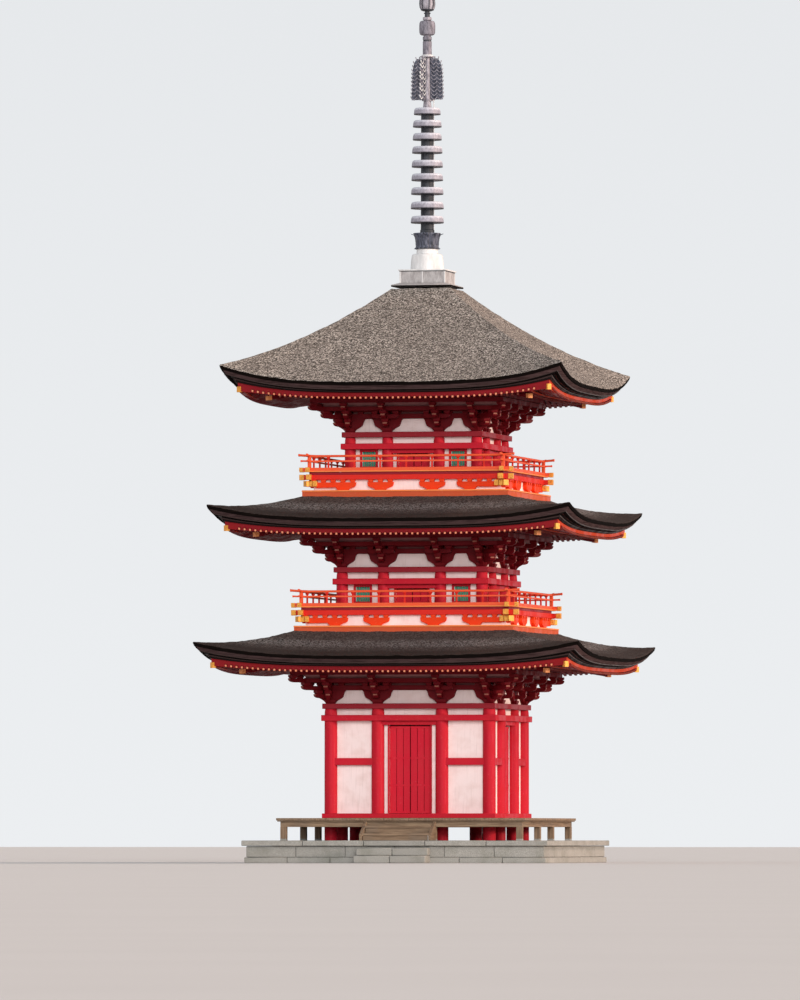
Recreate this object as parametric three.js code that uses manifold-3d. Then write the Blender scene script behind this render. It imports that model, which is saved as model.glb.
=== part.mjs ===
// A small three-storey timber pagoda with bark roofs, white plaster and a tall bronze finial.
// Millimetres, +Z up. The front faces -Y, and the origin is on the ground under the middle.
import * as THREE from 'three';
import { mergeVertices } from 'three/addons/utils/BufferGeometryUtils.js';
import Module from 'manifold-3d';

const wasm = await Module();
wasm.setup();

// Gap left between two pieces that rest on each other.
const GAP = 0.3;

// The storeys from the ground up. corner and inner are the column lines, head is the top of the
// wall plate, and floor is the top of the floor. eaveHalf and eaveTop place the roof's outer edge.
const STOREYS = [
  {
    number: 1, corner: 1375, inner: 555, columnRadius: 110, columnFoot: 380,
    floor: 760, head: 2705, doorHalf: 360, windowHalf: 0,
    eaveHalf: 3320, eaveTop: 3490, cornerLift: 240, liftStart: 1250, liftPower: 2.2,
    slope: 0.17, bend: 0.092, roofInner: 1715,
  },
  {
    number: 2, corner: 1215, inner: 495, columnRadius: 100, columnFoot: 3525,
    floor: 4330, head: 5025, doorHalf: 285, windowHalf: 115,
    eaveHalf: 3130, eaveTop: 5810, cornerLift: 240, liftStart: 1200, liftPower: 2.2,
    slope: 0.17, bend: 0.092, roofInner: 1600,
  },
  {
    number: 3, corner: 1100, inner: 448, columnRadius: 95, columnFoot: 5845,
    floor: 6630, head: 7325, doorHalf: 265, windowHalf: 110,
    eaveHalf: 2950, eaveTop: 8110, cornerLift: 305, liftStart: 500, liftPower: 2,
    slope: 0.55, bend: 0.059, roofInner: 0,
  },
];

// Plaster wall: its face stands this far behind the column line.
const WALL_SETBACK = 15;
const WALL_THICKNESS = 70;

// Stone platform, veranda and steps.
const PLATFORM_HALF = 2600;
const PLATFORM_TOP = 380;
const COPING_OVERHANG = 40;
const COPING_HEIGHT = 90;
const VERANDA_HALF = 2150;
const STEP_HALF_WIDTH = 620;
const STEP_RUN = 200;
const STEPS_IN_FLIGHT = 2;

// Roof tops. The flat crown carries the finial.
const CROWN_HALF = 515;
const CROWN_TOP = 9829.7;
const BARK_THICKNESS = 150;
const EAVE_EDGE = 142;
const EDGE_CURVE_POWER = 3.35;

// Heights above a storey's head, up through its brackets.
const ARM_TOP = 225;
const PURLIN_LOW = 605;
const PURLIN_TOP = 695;
const TOP_BEAM_LOW = 700;
const TOP_BEAM_TOP = 820;
const PURLIN_OUT = 540;

// Finial heights, from the crown up to the tip.
const BOX_TOP = 10130;
const BOWL_TOP = 10490;
const LOTUS_TOP = 10770;
const SHAFT_TOP = 13035;
const FLAME_TOP = 13800;
const BALL_TOP = 14420;
const TIP = 15000;

const COLOURS = {
  vermilion: { color: 0xc22e18, roughness: 0.6, metalness: 0 },
  deepRed: { color: 0x9c1a1c, roughness: 0.6, metalness: 0 },
  plaster: { color: 0xeee6dc, roughness: 0.9, metalness: 0 },
  bark: { color: 0x5f5650, roughness: 1, metalness: 0 },
  boards: { color: 0x8a6a4a, roughness: 0.8, metalness: 0 },
  stone: { color: 0x9a958c, roughness: 0.9, metalness: 0 },
  bronze: { color: 0x6d6870, roughness: 0.5, metalness: 0.8 },
  paleMetal: { color: 0xc9cbcc, roughness: 0.5, metalness: 0.7 },
};

const pagoda = new THREE.Group();

// Turning a geometry into a solid and back

function signedVolume(positions, triangles) {
  const [a, b, c] = [new THREE.Vector3(), new THREE.Vector3(), new THREE.Vector3()];
  let volume = 0;
  for (let i = 0; i < triangles.length; i += 3) {
    a.fromArray(positions, 3 * triangles[i]);
    b.fromArray(positions, 3 * triangles[i + 1]);
    c.fromArray(positions, 3 * triangles[i + 2]);
    volume += a.dot(b.cross(c)) / 6;
  }
  return volume;
}

function solid(geometry) {
  geometry.deleteAttribute('normal');
  geometry.deleteAttribute('uv');
  const merged = mergeVertices(geometry, 0.001);
  const positions = merged.attributes.position.array;
  const index = merged.index.array;
  const triangles = [];
  for (let i = 0; i < index.length; i += 3) {
    const [a, b, c] = [index[i], index[i + 1], index[i + 2]];
    if (a !== b && b !== c && c !== a) triangles.push(a, b, c);
  }
  if (signedVolume(positions, triangles) < 0) triangles.reverse();
  return new wasm.Manifold(new wasm.Mesh({
    numProp: 3,
    vertProperties: new Float32Array(positions),
    triVerts: new Uint32Array(triangles),
  }));
}

function joined(pieces) {
  return wasm.Manifold.union(pieces).asOriginal();
}

function addNode(name, piece, look) {
  const { vertProperties, triVerts } = piece.getMesh();
  const geometry = new THREE.BufferGeometry();
  geometry.setAttribute('position', new THREE.BufferAttribute(new Float32Array(vertProperties), 3));
  geometry.setIndex(new THREE.BufferAttribute(new Uint32Array(triVerts), 1));
  geometry.computeVertexNormals();
  const material = new THREE.MeshStandardMaterial({ ...COLOURS[look], flatShading: true });
  const mesh = new THREE.Mesh(geometry, material);
  mesh.name = name;
  pagoda.add(mesh);
}

// Simple shapes

function block(lowX, highX, lowY, highY, lowZ, highZ) {
  const geometry = new THREE.BoxGeometry(highX - lowX, highY - lowY, highZ - lowZ);
  geometry.translate((lowX + highX) / 2, (lowY + highY) / 2, (lowZ + highZ) / 2);
  return solid(geometry);
}

function slab(half, lowZ, highZ) {
  return block(-half, half, -half, half, lowZ, highZ);
}

function squareRing(outerHalf, innerHalf, lowZ, highZ) {
  return slab(outerHalf, lowZ, highZ).subtract(slab(innerHalf, lowZ - 10, highZ + 10));
}

function post(x, y, radius, lowZ, highZ, sides = 8) {
  const geometry = new THREE.CylinderGeometry(radius, radius, highZ - lowZ, sides);
  geometry.rotateX(Math.PI / 2);
  geometry.rotateZ(Math.PI / sides);
  geometry.translate(x, y, (lowZ + highZ) / 2);
  return solid(geometry);
}

function turned(profile, sides = 16) {
  const points = profile.map(([radius, z]) => new THREE.Vector2(radius, z));
  const geometry = new THREE.LatheGeometry(points, sides);
  geometry.rotateX(Math.PI / 2);
  return solid(geometry);
}

// An outline in the plane across the front wall: out is away from the axis, up is Z.
function corbel(outline, width) {
  const shape = new THREE.Shape(outline.map(([out, up]) => new THREE.Vector2(out, up)));
  const geometry = new THREE.ExtrudeGeometry(shape, { depth: width, bevelEnabled: false });
  geometry.translate(0, 0, -width / 2);
  const [outward, up] = [new THREE.Vector3(0, -1, 0), new THREE.Vector3(0, 0, 1)];
  geometry.applyMatrix4(new THREE.Matrix4().makeBasis(outward, up, outward.clone().cross(up)));
  return solid(geometry);
}

// An outline in the plane of the front wall, between two distances from the axis.
function frontPanel(outline, nearAxis, farFromAxis) {
  const shape = new THREE.Shape(outline.map(([x, z]) => new THREE.Vector2(x, z)));
  const depth = farFromAxis - nearAxis;
  const geometry = new THREE.ExtrudeGeometry(shape, { depth, bevelEnabled: false });
  geometry.rotateX(Math.PI / 2);
  geometry.translate(0, -nearAxis, 0);
  return solid(geometry);
}

function onSide(piece, side) {
  return piece.rotate([0, 0, 90 * side]);
}

function onFourSides(piece) {
  return [0, 1, 2, 3].map((side) => onSide(piece, side));
}

const SIDE_NAMES = ['front', 'right', 'back', 'left'];

// Roof surfaces: a profile turned round a square plan, whose corners rise by a power curve

const STEPS_PER_SIDE = 6;
const STEP_CROWDING = 1.6;

function lateralShare(step) {
  const place = (2 * step) / STEPS_PER_SIDE - 1;
  return Math.sign(place) * (1 - (1 - Math.abs(place)) ** STEP_CROWDING);
}

function cornerRise(storey, half) {
  const reach = (half - storey.liftStart) / (storey.eaveHalf - storey.liftStart);
  return storey.cornerLift * Math.max(0, reach) ** storey.liftPower;
}

function squareTurned(profile, storey) {
  const points = profile.map(([half, z]) => new THREE.Vector2(half, z));
  const geometry = new THREE.LatheGeometry(points, 4 * STEPS_PER_SIDE);
  const position = geometry.attributes.position;
  for (let i = 0; i < position.count; i += 1) {
    const [half, z] = profile[i % profile.length];
    const column = Math.floor(i / profile.length);
    const angle = (Math.floor(column / STEPS_PER_SIDE) % 4) * (Math.PI / 2);
    const share = lateralShare(column % STEPS_PER_SIDE);
    const [outX, outY] = [Math.round(Math.sin(angle)), -Math.round(Math.cos(angle))];
    const x = half * (outX - outY * share);
    const y = half * (outY + outX * share);
    position.setXYZ(i, x, y, z + cornerRise(storey, half) * Math.abs(share) ** EDGE_CURVE_POWER);
  }
  return solid(geometry);
}

function roofHeight(storey, half) {
  const inward = storey.eaveHalf - half;
  return storey.eaveTop + storey.slope * inward + (storey.bend * inward * inward) / 1000;
}

function barkRoof(storey) {
  const { eaveHalf, eaveTop, roofInner } = storey;
  const innermost = Math.max(roofInner, CROWN_HALF);
  const rows = 5;
  const top = [];
  for (let row = 0; row <= rows; row += 1) {
    const half = innermost + ((eaveHalf - innermost) * row) / rows;
    top.push([half, roofHeight(storey, half)]);
  }
  const edge = [
    [eaveHalf - 8, eaveTop - 50],
    [eaveHalf - 30, eaveTop - 52],
    [eaveHalf - 55, eaveTop - EAVE_EDGE],
    [eaveHalf - 110, eaveTop - EAVE_EDGE],
    [eaveHalf - 130, eaveTop - EAVE_EDGE],
  ];
  const under = [400, 1000].map((inward) => {
    const half = eaveHalf - inward;
    return [half, roofHeight(storey, half) - BARK_THICKNESS];
  });
  const innerEnd = [innermost, roofHeight(storey, innermost) - BARK_THICKNESS];
  if (roofInner > 0) return squareTurned([...top, ...edge, ...under, innerEnd, top[0]], storey);
  const crown = [[0, CROWN_TOP], [CROWN_HALF - 10, CROWN_TOP]];
  const ceiling = [0, innerEnd[1]];
  return squareTurned([...crown, ...top, ...edge, ...under, innerEnd, ceiling], storey);
}

// Eave boards and rafters as one body, from the fascia in to the wall plane
function eaves(storey) {
  const { corner, head, eaveHalf, eaveTop } = storey;
  const purlin = corner + PURLIN_OUT;
  const profile = [
    [eaveHalf - 110, eaveTop - EAVE_EDGE - GAP],
    [eaveHalf - 130, eaveTop - EAVE_EDGE - GAP],
    [eaveHalf - 660, eaveTop - 130],
    [corner, head + TOP_BEAM_TOP + 100],
    [corner, head + TOP_BEAM_TOP + GAP],
    [corner + 50, head + TOP_BEAM_TOP + GAP],
    [purlin - 50, head + PURLIN_TOP + GAP],
    [purlin + 50, head + PURLIN_TOP + GAP],
    [eaveHalf - 690, eaveTop - 255],
    [eaveHalf - 230, eaveTop - 285],
    [eaveHalf - 150, eaveTop - 225],
  ];
  return squareTurned([...profile, profile[0]], storey);
}

// Timber frame, walls and doors

const NAGESHI_OUT = 140;
const PLATE_HEIGHT = 90;
const PLATE_OUT = 125;
const TIE_LOW = 295;
const TIE_HIGH = 195;
const LINTEL_LOW = 365;
const SILL_RAIL = 80;
const FLOOR_THICKNESS = 50;
const FLOOR_BEAM = 155;

// The front and back walls run the whole width, and the side walls stand between them
function wallBlank(storey, side) {
  const face = storey.corner - WALL_SETBACK;
  const back = face - WALL_THICKNESS;
  const half = side % 2 === 0 ? face : back - GAP;
  const bottom = storey.floor - FLOOR_THICKNESS + GAP;
  const top = storey.head + TOP_BEAM_LOW - GAP;
  return onSide(block(-half, half, -face, -back, bottom, top), side);
}

function doorOpening(storey, grow) {
  const { corner, floor, head, doorHalf } = storey;
  const half = doorHalf + grow;
  return block(-half, half, -corner, 200 - corner, floor + SILL_RAIL - grow, head - LINTEL_LOW + grow);
}

function windowOpenings(storey) {
  const { corner, inner, head, windowHalf } = storey;
  const middle = (corner + inner) / 2;
  return [-middle, middle].map((x) => {
    return block(x - windowHalf, x + windowHalf, -corner, 200 - corner, head - 585, head - 335);
  });
}

function wall(storey, side) {
  let plaster = wallBlank(storey, side).subtract(onSide(doorOpening(storey, GAP), side));
  if (storey.windowHalf === 0) return plaster;
  for (const opening of windowOpenings(storey)) plaster = plaster.subtract(onSide(opening, side));
  return plaster;
}

// A pair of closed leaves in the opening, with the joint between them as a groove
function door(storey, side) {
  const face = storey.corner - WALL_SETBACK - 12;
  const back = face - 45;
  const room = block(-2000, 2000, -face, -back, 0, TIP);
  const leaves = doorOpening(storey, 0).intersect(room);
  const groove = block(-4, 4, -face - 5, 12 - face, 0, TIP);
  return onSide(leaves.subtract(groove), side);
}

// Columns up to the head tie, with the rails at their feet and the lintels over the doors.
// The columns are cut flat where the walls pass behind them.
function timberFrame(storey) {
  const { corner, inner, columnRadius, columnFoot, floor, head } = storey;
  const wallFace = corner - WALL_SETBACK + GAP;
  const foot = columnFoot + GAP;
  const underTie = head - TIE_LOW - GAP;
  const [beamLow, beamTop] = [floor - FLOOR_BEAM, floor - FLOOR_THICKNESS];
  const pieces = [];
  for (const x of [-corner, -inner, inner]) {
    const low = storey.number === 1 || x === -corner ? foot : beamLow;
    pieces.push(...onFourSides(post(x, -corner, columnRadius, low, underTie)));
  }
  const lintel = block(-inner, inner, -corner - 60, -wallFace, head - LINTEL_LOW, underTie);
  pieces.push(...onFourSides(lintel));
  pieces.push(squareRing(corner + NAGESHI_OUT - 10, wallFace, floor + GAP, floor + SILL_RAIL));
  pieces.push(squareRing(corner + 60, corner - 250, beamLow, beamTop));
  if (storey.number > 1) {
    const below = STOREYS[storey.number - 2];
    pieces.push(squareRing(below.corner - GAP, corner - 110, foot, foot + 140));
  }
  return joined(pieces).subtract(slab(wallFace, beamTop, TIP));
}

// The tie round the columns, the wall plate over it and the column heads between the two
function headTies(storey) {
  const { corner, inner, columnRadius, head } = storey;
  const wallFace = corner - WALL_SETBACK + GAP;
  const [tieTop, plateLow] = [head - TIE_HIGH, head - PLATE_HEIGHT];
  const pieces = [
    squareRing(corner + NAGESHI_OUT, wallFace, head - TIE_LOW, tieTop),
    squareRing(corner + PLATE_OUT, wallFace, plateLow, head),
  ];
  for (const x of [-corner, -inner, inner]) {
    pieces.push(...onFourSides(post(x, -corner, columnRadius, tieTop - 1, plateLow + 1)));
  }
  return joined(pieces).subtract(slab(wallFace, 0, TIP));
}

function floorBoards(storey) {
  const half = storey.corner - WALL_SETBACK - WALL_THICKNESS - GAP;
  return slab(half, storey.floor - FLOOR_THICKNESS + GAP, storey.floor);
}

// Brackets: a block on each column, arms along the wall and stepped arms out to the eave purlin

// A bearing block with the arm above it, seen from the front
const BLOCK_AND_ARM = [
  [-98, GAP], [98, GAP], [98, 45], [245, 100], [245, ARM_TOP + 10],
  [-245, ARM_TOP + 10], [-245, 100], [-98, 45],
];

function steppedArm(wallFace, stretch) {
  const steps = [[190, 60], [190, 230], [370, 230], [370, 400], [590, 400], [590, PURLIN_LOW + 5]];
  const outline = steps.map(([out, up]) => [out * stretch, up]);
  return [[wallFace, 60], ...outline, [wallFace, PURLIN_LOW + 5]];
}

function bracketRing(storey) {
  const { corner, inner, head } = storey;
  const wallFace = GAP - WALL_SETBACK;
  const pieces = [];
  const straight = corbel(steppedArm(wallFace, 1), 80).translate([0, -corner, head]);
  const arms = frontPanel(BLOCK_AND_ARM, corner + wallFace, corner + 70).translate([0, 0, head]);
  for (const x of [-corner, -inner, inner, corner]) {
    pieces.push(...onFourSides(straight.translate([x, 0, 0])));
    pieces.push(...onFourSides(arms.translate([x, 0, 0])));
  }
  const diagonal = corbel(steppedArm(0, Math.SQRT2), 80).rotate([0, 0, 45]);
  pieces.push(...onFourSides(diagonal.translate([corner, -corner, head])));
  const [low, top] = [head + ARM_TOP, head + TOP_BEAM_TOP];
  pieces.push(squareRing(corner + 45, corner + wallFace, low, top));
  pieces.push(squareRing(corner + 45, corner - 120, head + TOP_BEAM_LOW, top));
  const purlin = corner + PURLIN_OUT;
  pieces.push(squareRing(purlin + 50, purlin - 50, head + 400, head + PURLIN_TOP));
  return joined(pieces);
}

// Balconies of the upper storeys, measured out from the column line and down from the floor

const BALCONY_SILL_OUT = 663;
const BALCONY_BEAM_OUT = 600;
const SKIRT_FACE_OUT = 520;
const RAIL_OUT = 580;

function balcony(storey, roofBelow) {
  const { corner, inner, columnRadius, floor } = storey;
  const [sillTop, beamLow, deckLow] = [floor - 310, floor - 130, floor - 45];
  const sillInner = STOREYS[storey.number - 2].roofInner + 10;
  const sill = squareRing(corner + BALCONY_SILL_OUT, sillInner, sillTop - 130, sillTop);
  const pieces = [sill.subtract(roofBelow.translate([0, 0, GAP]))];
  const [armBack, armFace] = [corner + SKIRT_FACE_OUT + GAP, corner + BALCONY_BEAM_OUT - 5];
  const arm = [
    [-230, 185], [-230, 115], [-75, 60], [-75, -5], [75, -5], [75, 60], [230, 115], [230, 185],
  ];
  const bracket = frontPanel(arm, armBack, armFace).translate([0, 0, sillTop]);
  for (const x of [-corner, -inner, inner, corner]) {
    pieces.push(...onFourSides(bracket.translate([x, 0, 0])));
  }
  const cornerBlock = block(armBack - 60, armFace, -armFace, 60 - armBack, sillTop - 5, beamLow + 5);
  pieces.push(...onFourSides(cornerBlock.subtract(slab(armBack, 0, TIP))));
  pieces.push(squareRing(corner + BALCONY_BEAM_OUT, corner + 420, beamLow, deckLow + 5));
  const deckInner = corner + columnRadius + GAP;
  pieces.push(squareRing(corner + BALCONY_BEAM_OUT - 10, deckInner, deckLow, floor));
  return joined(pieces);
}

function plasterSkirt(storey) {
  const { corner, floor } = storey;
  const [low, high] = [floor - 310 + GAP, floor - 130 - GAP];
  return squareRing(corner + SKIRT_FACE_OUT, corner + SKIRT_FACE_OUT - 60, low, high);
}

function railing(storey) {
  const { corner, inner, floor } = storey;
  const line = corner + RAIL_OUT;
  const pieces = [];
  const bar = (overhang, halfWidth, low, high) => {
    const reach = line + overhang;
    pieces.push(...onFourSides(block(-reach, reach, -line - halfWidth, halfWidth - line, low, high)));
  };
  bar(170, 35, floor + GAP, floor + 75);
  bar(150, 18, floor + 168, floor + 204);
  bar(190, 23, floor + 252, floor + 298);
  for (const x of [-inner, inner, line]) {
    const strut = block(x - 22, x + 22, -line - 22, 22 - line, floor + 70, floor + 260);
    pieces.push(...onFourSides(strut));
  }
  return joined(pieces);
}

// Ground works

function platform() {
  const body = slab(PLATFORM_HALF, 0, PLATFORM_TOP - COPING_HEIGHT + 1);
  const coping = slab(PLATFORM_HALF + COPING_OVERHANG, PLATFORM_TOP - COPING_HEIGHT, PLATFORM_TOP);
  return joined([body, coping]);
}

function flight(startY, lowZ, highZ) {
  const rise = (highZ - lowZ) / (STEPS_IN_FLIGHT + 1);
  const outline = [[0, lowZ], [0, highZ - rise]];
  for (let step = 1; step <= STEPS_IN_FLIGHT; step += 1) {
    outline.push([step * STEP_RUN, highZ - step * rise]);
    outline.push([step * STEP_RUN, Math.max(lowZ, highZ - (step + 1) * rise)]);
  }
  return corbel(outline, 2 * STEP_HALF_WIDTH).translate([0, -startY, 0]);
}

function veranda(storey) {
  const { corner, columnRadius, floor } = storey;
  const pieces = [squareRing(VERANDA_HALF, corner + columnRadius + GAP, floor - 60, floor)];
  const beamLine = VERANDA_HALF - 110;
  pieces.push(squareRing(beamLine + 50, beamLine - 50, floor - 150, floor - 55));
  for (const x of [-beamLine, -storey.inner, storey.inner]) {
    const support = block(
      x - 55, x + 55, -beamLine - 55, 55 - beamLine, PLATFORM_TOP + GAP, floor - 100,
    );
    pieces.push(...onFourSides(support));
  }
  return joined(pieces);
}

// Finial

const FINIAL_RINGS = [
  [10983, 284], [11227, 284], [11474, 278], [11710, 272], [11940, 268],
  [12180, 261], [12405, 250], [12627, 247], [12841, 230],
];

function finialBox() {
  return joined([
    slab(507, CROWN_TOP + GAP, 9862),
    slab(380, 9860, 9892),
    slab(400, 9890, 10106),
    slab(421, 10104, BOX_TOP),
  ]);
}

function finialBowl() {
  return turned([
    [0, BOX_TOP + GAP], [286, BOX_TOP + GAP], [286, 10250], [270, 10340], [225, 10390],
    [185, 10412], [185, BOWL_TOP], [0, BOWL_TOP],
  ], 24);
}

function finialLotus() {
  return turned([
    [0, BOWL_TOP + GAP], [150, BOWL_TOP + GAP], [195, 10520], [195, 10560], [230, 10640],
    [275, 10700], [275, 10735], [215, 10745], [140, LOTUS_TOP], [0, LOTUS_TOP],
  ], 16);
}

function finialShaft() {
  const profile = [[0, LOTUS_TOP + GAP], [120, LOTUS_TOP + GAP]];
  for (const [middle, radius] of FINIAL_RINGS) {
    const sleeve = 118 - 9 * (middle - 10983) / 1000;
    profile.push([sleeve, middle - 65], [radius, middle - 65]);
    profile.push([radius - 12, middle + 65], [sleeve, middle + 65]);
  }
  profile.push([66, 12925], [66, SHAFT_TOP], [0, SHAFT_TOP]);
  return turned(profile);
}

// Four openwork leaves of flame round a rod, in two crossing planes
function waterFlame() {
  const [low, high] = [SHAFT_TOP + GAP, FLAME_TOP];
  const edge = [
    [290, 13080], [270, 13180], [283, 13240], [262, 13330], [270, 13400], [245, 13490],
    [252, 13550], [228, 13640], [232, 13700], [205, 13785],
  ];
  const mirrored = edge.map(([x, z]) => [-x, z]).reverse();
  const leaf = frontPanel([[60, 13045], ...edge, ...mirrored, [-60, 13045]], -9, 9);
  const rod = post(0, 0, 55, low, high, 12);
  return joined([leaf, leaf.rotate([0, 0, 90]), rod]);
}

function finialBall() {
  return turned([
    [0, FLAME_TOP + GAP], [125, FLAME_TOP + GAP], [125, 13825], [78, 13835], [78, 14060],
    [88, 14065], [88, 14095], [78, 14100], [78, 14145], [112, 14175], [134, 14240],
    [134, 14320], [110, 14390], [70, BALL_TOP], [0, BALL_TOP],
  ]);
}

function finialJewel() {
  return turned([
    [0, BALL_TOP + GAP], [50, BALL_TOP + GAP], [52, 14480], [70, 14545], [112, 14580],
    [136, 14660], [136, 14740], [110, 14830], [60, 14915], [18, 14965], [0, TIP],
  ]);
}

// Assembly

const [ground] = STOREYS;
addNode('stone_platform', platform(), 'stone');
addNode('stone_steps', flight(PLATFORM_HALF + GAP, 0, PLATFORM_TOP), 'stone');
addNode('timber_steps', flight(VERANDA_HALF + GAP, PLATFORM_TOP + GAP, ground.floor), 'boards');
addNode('veranda', veranda(ground), 'boards');

let roofBelow = null;
for (const storey of STOREYS) {
  const { number } = storey;
  if (number > 1) {
    addNode(`balcony_${number}`, balcony(storey, roofBelow), 'vermilion');
    addNode(`balcony_skirt_${number}`, plasterSkirt(storey), 'plaster');
    addNode(`railing_${number}`, railing(storey), 'vermilion');
  }
  addNode(`floor_${number}`, floorBoards(storey), 'boards');
  addNode(`timber_frame_${number}`, timberFrame(storey), 'vermilion');
  addNode(`head_ties_${number}`, headTies(storey), 'vermilion');
  for (let side = 0; side < 4; side += 1) {
    addNode(`wall_${number}_${SIDE_NAMES[side]}`, wall(storey, side), 'plaster');
    addNode(`door_${number}_${SIDE_NAMES[side]}`, door(storey, side), 'deepRed');
  }
  addNode(`brackets_${number}`, bracketRing(storey), 'deepRed');
  addNode(`eaves_${number}`, eaves(storey), 'deepRed');
  roofBelow = barkRoof(storey);
  addNode(`roof_${number}`, roofBelow, 'bark');
}

addNode('finial_box', finialBox(), 'paleMetal');
addNode('finial_bowl', finialBowl(), 'paleMetal');
addNode('finial_lotus', finialLotus(), 'bronze');
addNode('finial_shaft', finialShaft(), 'bronze');
addNode('finial_flame', waterFlame(), 'bronze');
addNode('finial_ball', finialBall(), 'bronze');
addNode('finial_jewel', finialJewel(), 'bronze');

export default pagoda;
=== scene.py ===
import math
from types import SimpleNamespace

import bmesh
import bpy
import numpy as np
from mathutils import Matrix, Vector


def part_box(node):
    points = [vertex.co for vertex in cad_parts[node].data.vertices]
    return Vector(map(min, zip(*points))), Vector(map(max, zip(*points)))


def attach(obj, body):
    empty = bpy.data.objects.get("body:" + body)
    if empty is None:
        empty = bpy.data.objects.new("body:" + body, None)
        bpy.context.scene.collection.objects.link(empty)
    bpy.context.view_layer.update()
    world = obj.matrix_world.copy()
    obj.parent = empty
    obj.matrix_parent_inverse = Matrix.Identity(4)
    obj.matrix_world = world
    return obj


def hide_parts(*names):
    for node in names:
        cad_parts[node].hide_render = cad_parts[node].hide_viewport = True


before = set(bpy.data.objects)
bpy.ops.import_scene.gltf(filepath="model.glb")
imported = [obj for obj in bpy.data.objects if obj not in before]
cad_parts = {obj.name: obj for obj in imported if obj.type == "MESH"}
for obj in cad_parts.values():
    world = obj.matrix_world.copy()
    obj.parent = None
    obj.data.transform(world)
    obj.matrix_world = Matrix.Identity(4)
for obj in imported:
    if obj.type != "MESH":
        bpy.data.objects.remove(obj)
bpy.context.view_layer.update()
RANDOM = np.random.default_rng(7)

# Storeys from the ground up. corner and inner are the column lines, head is the top of the wall plate.

STOREYS = [
    SimpleNamespace(
        number=1, corner=1.375, inner=0.555, column=0.110, foot=0.380, floor=0.760, head=2.705,
        door=0.360, eave=3.320, eave_top=3.490, lift=0.240, lift_start=1.250,
        lift_power=2.2, slope=0.17, bend=0.092, roof_inner=1.715,
    ),
    SimpleNamespace(
        number=2, corner=1.215, inner=0.495, column=0.100, foot=3.525, floor=4.330, head=5.025,
        door=0.285, window=0.115, eave=3.130, eave_top=5.810, lift=0.240, lift_start=1.200,
        lift_power=2.2, slope=0.17, bend=0.092, roof_inner=1.600,
    ),
    SimpleNamespace(
        number=3, corner=1.100, inner=0.448, column=0.095, foot=5.845, floor=6.630, head=7.325,
        door=0.265, window=0.110, eave=2.950, eave_top=8.110, lift=0.305, lift_start=0.500,
        lift_power=2.0, slope=0.55, bend=0.059, roof_inner=0.515,
    ),
]
SIDE_NAMES = ["front", "right", "back", "left"]
CURVE_POWER = 3.35
WALL_FACE_IN = 0.015

# Timber sizes, measured out from the column line and up or down from the storey's head or floor.

NAGESHI_OUT = 0.140
PLATE_OUT = 0.125
PLATE_HEIGHT = 0.090
TIE_LOW = 0.295
TIE_HIGH = 0.195
LINTEL_LOW = 0.365
SILL_RAIL = 0.080
GIRT_LOW = 0.155
GIRT_HIGH = 0.051
WINDOW_LOW = 0.585
WINDOW_HIGH = 0.335
WINDOW_FRAME = 0.045
DOOR_THICKNESS = 0.045
DOOR_RAIL = 0.036
PURLIN_OUT = 0.540
BRACKET_STEP = 0.180
RAFTER_PITCH = 0.0935
RAFTER_WIDTH = 0.045
RAFTER_HEIGHT = 0.044


# Materials


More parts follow.
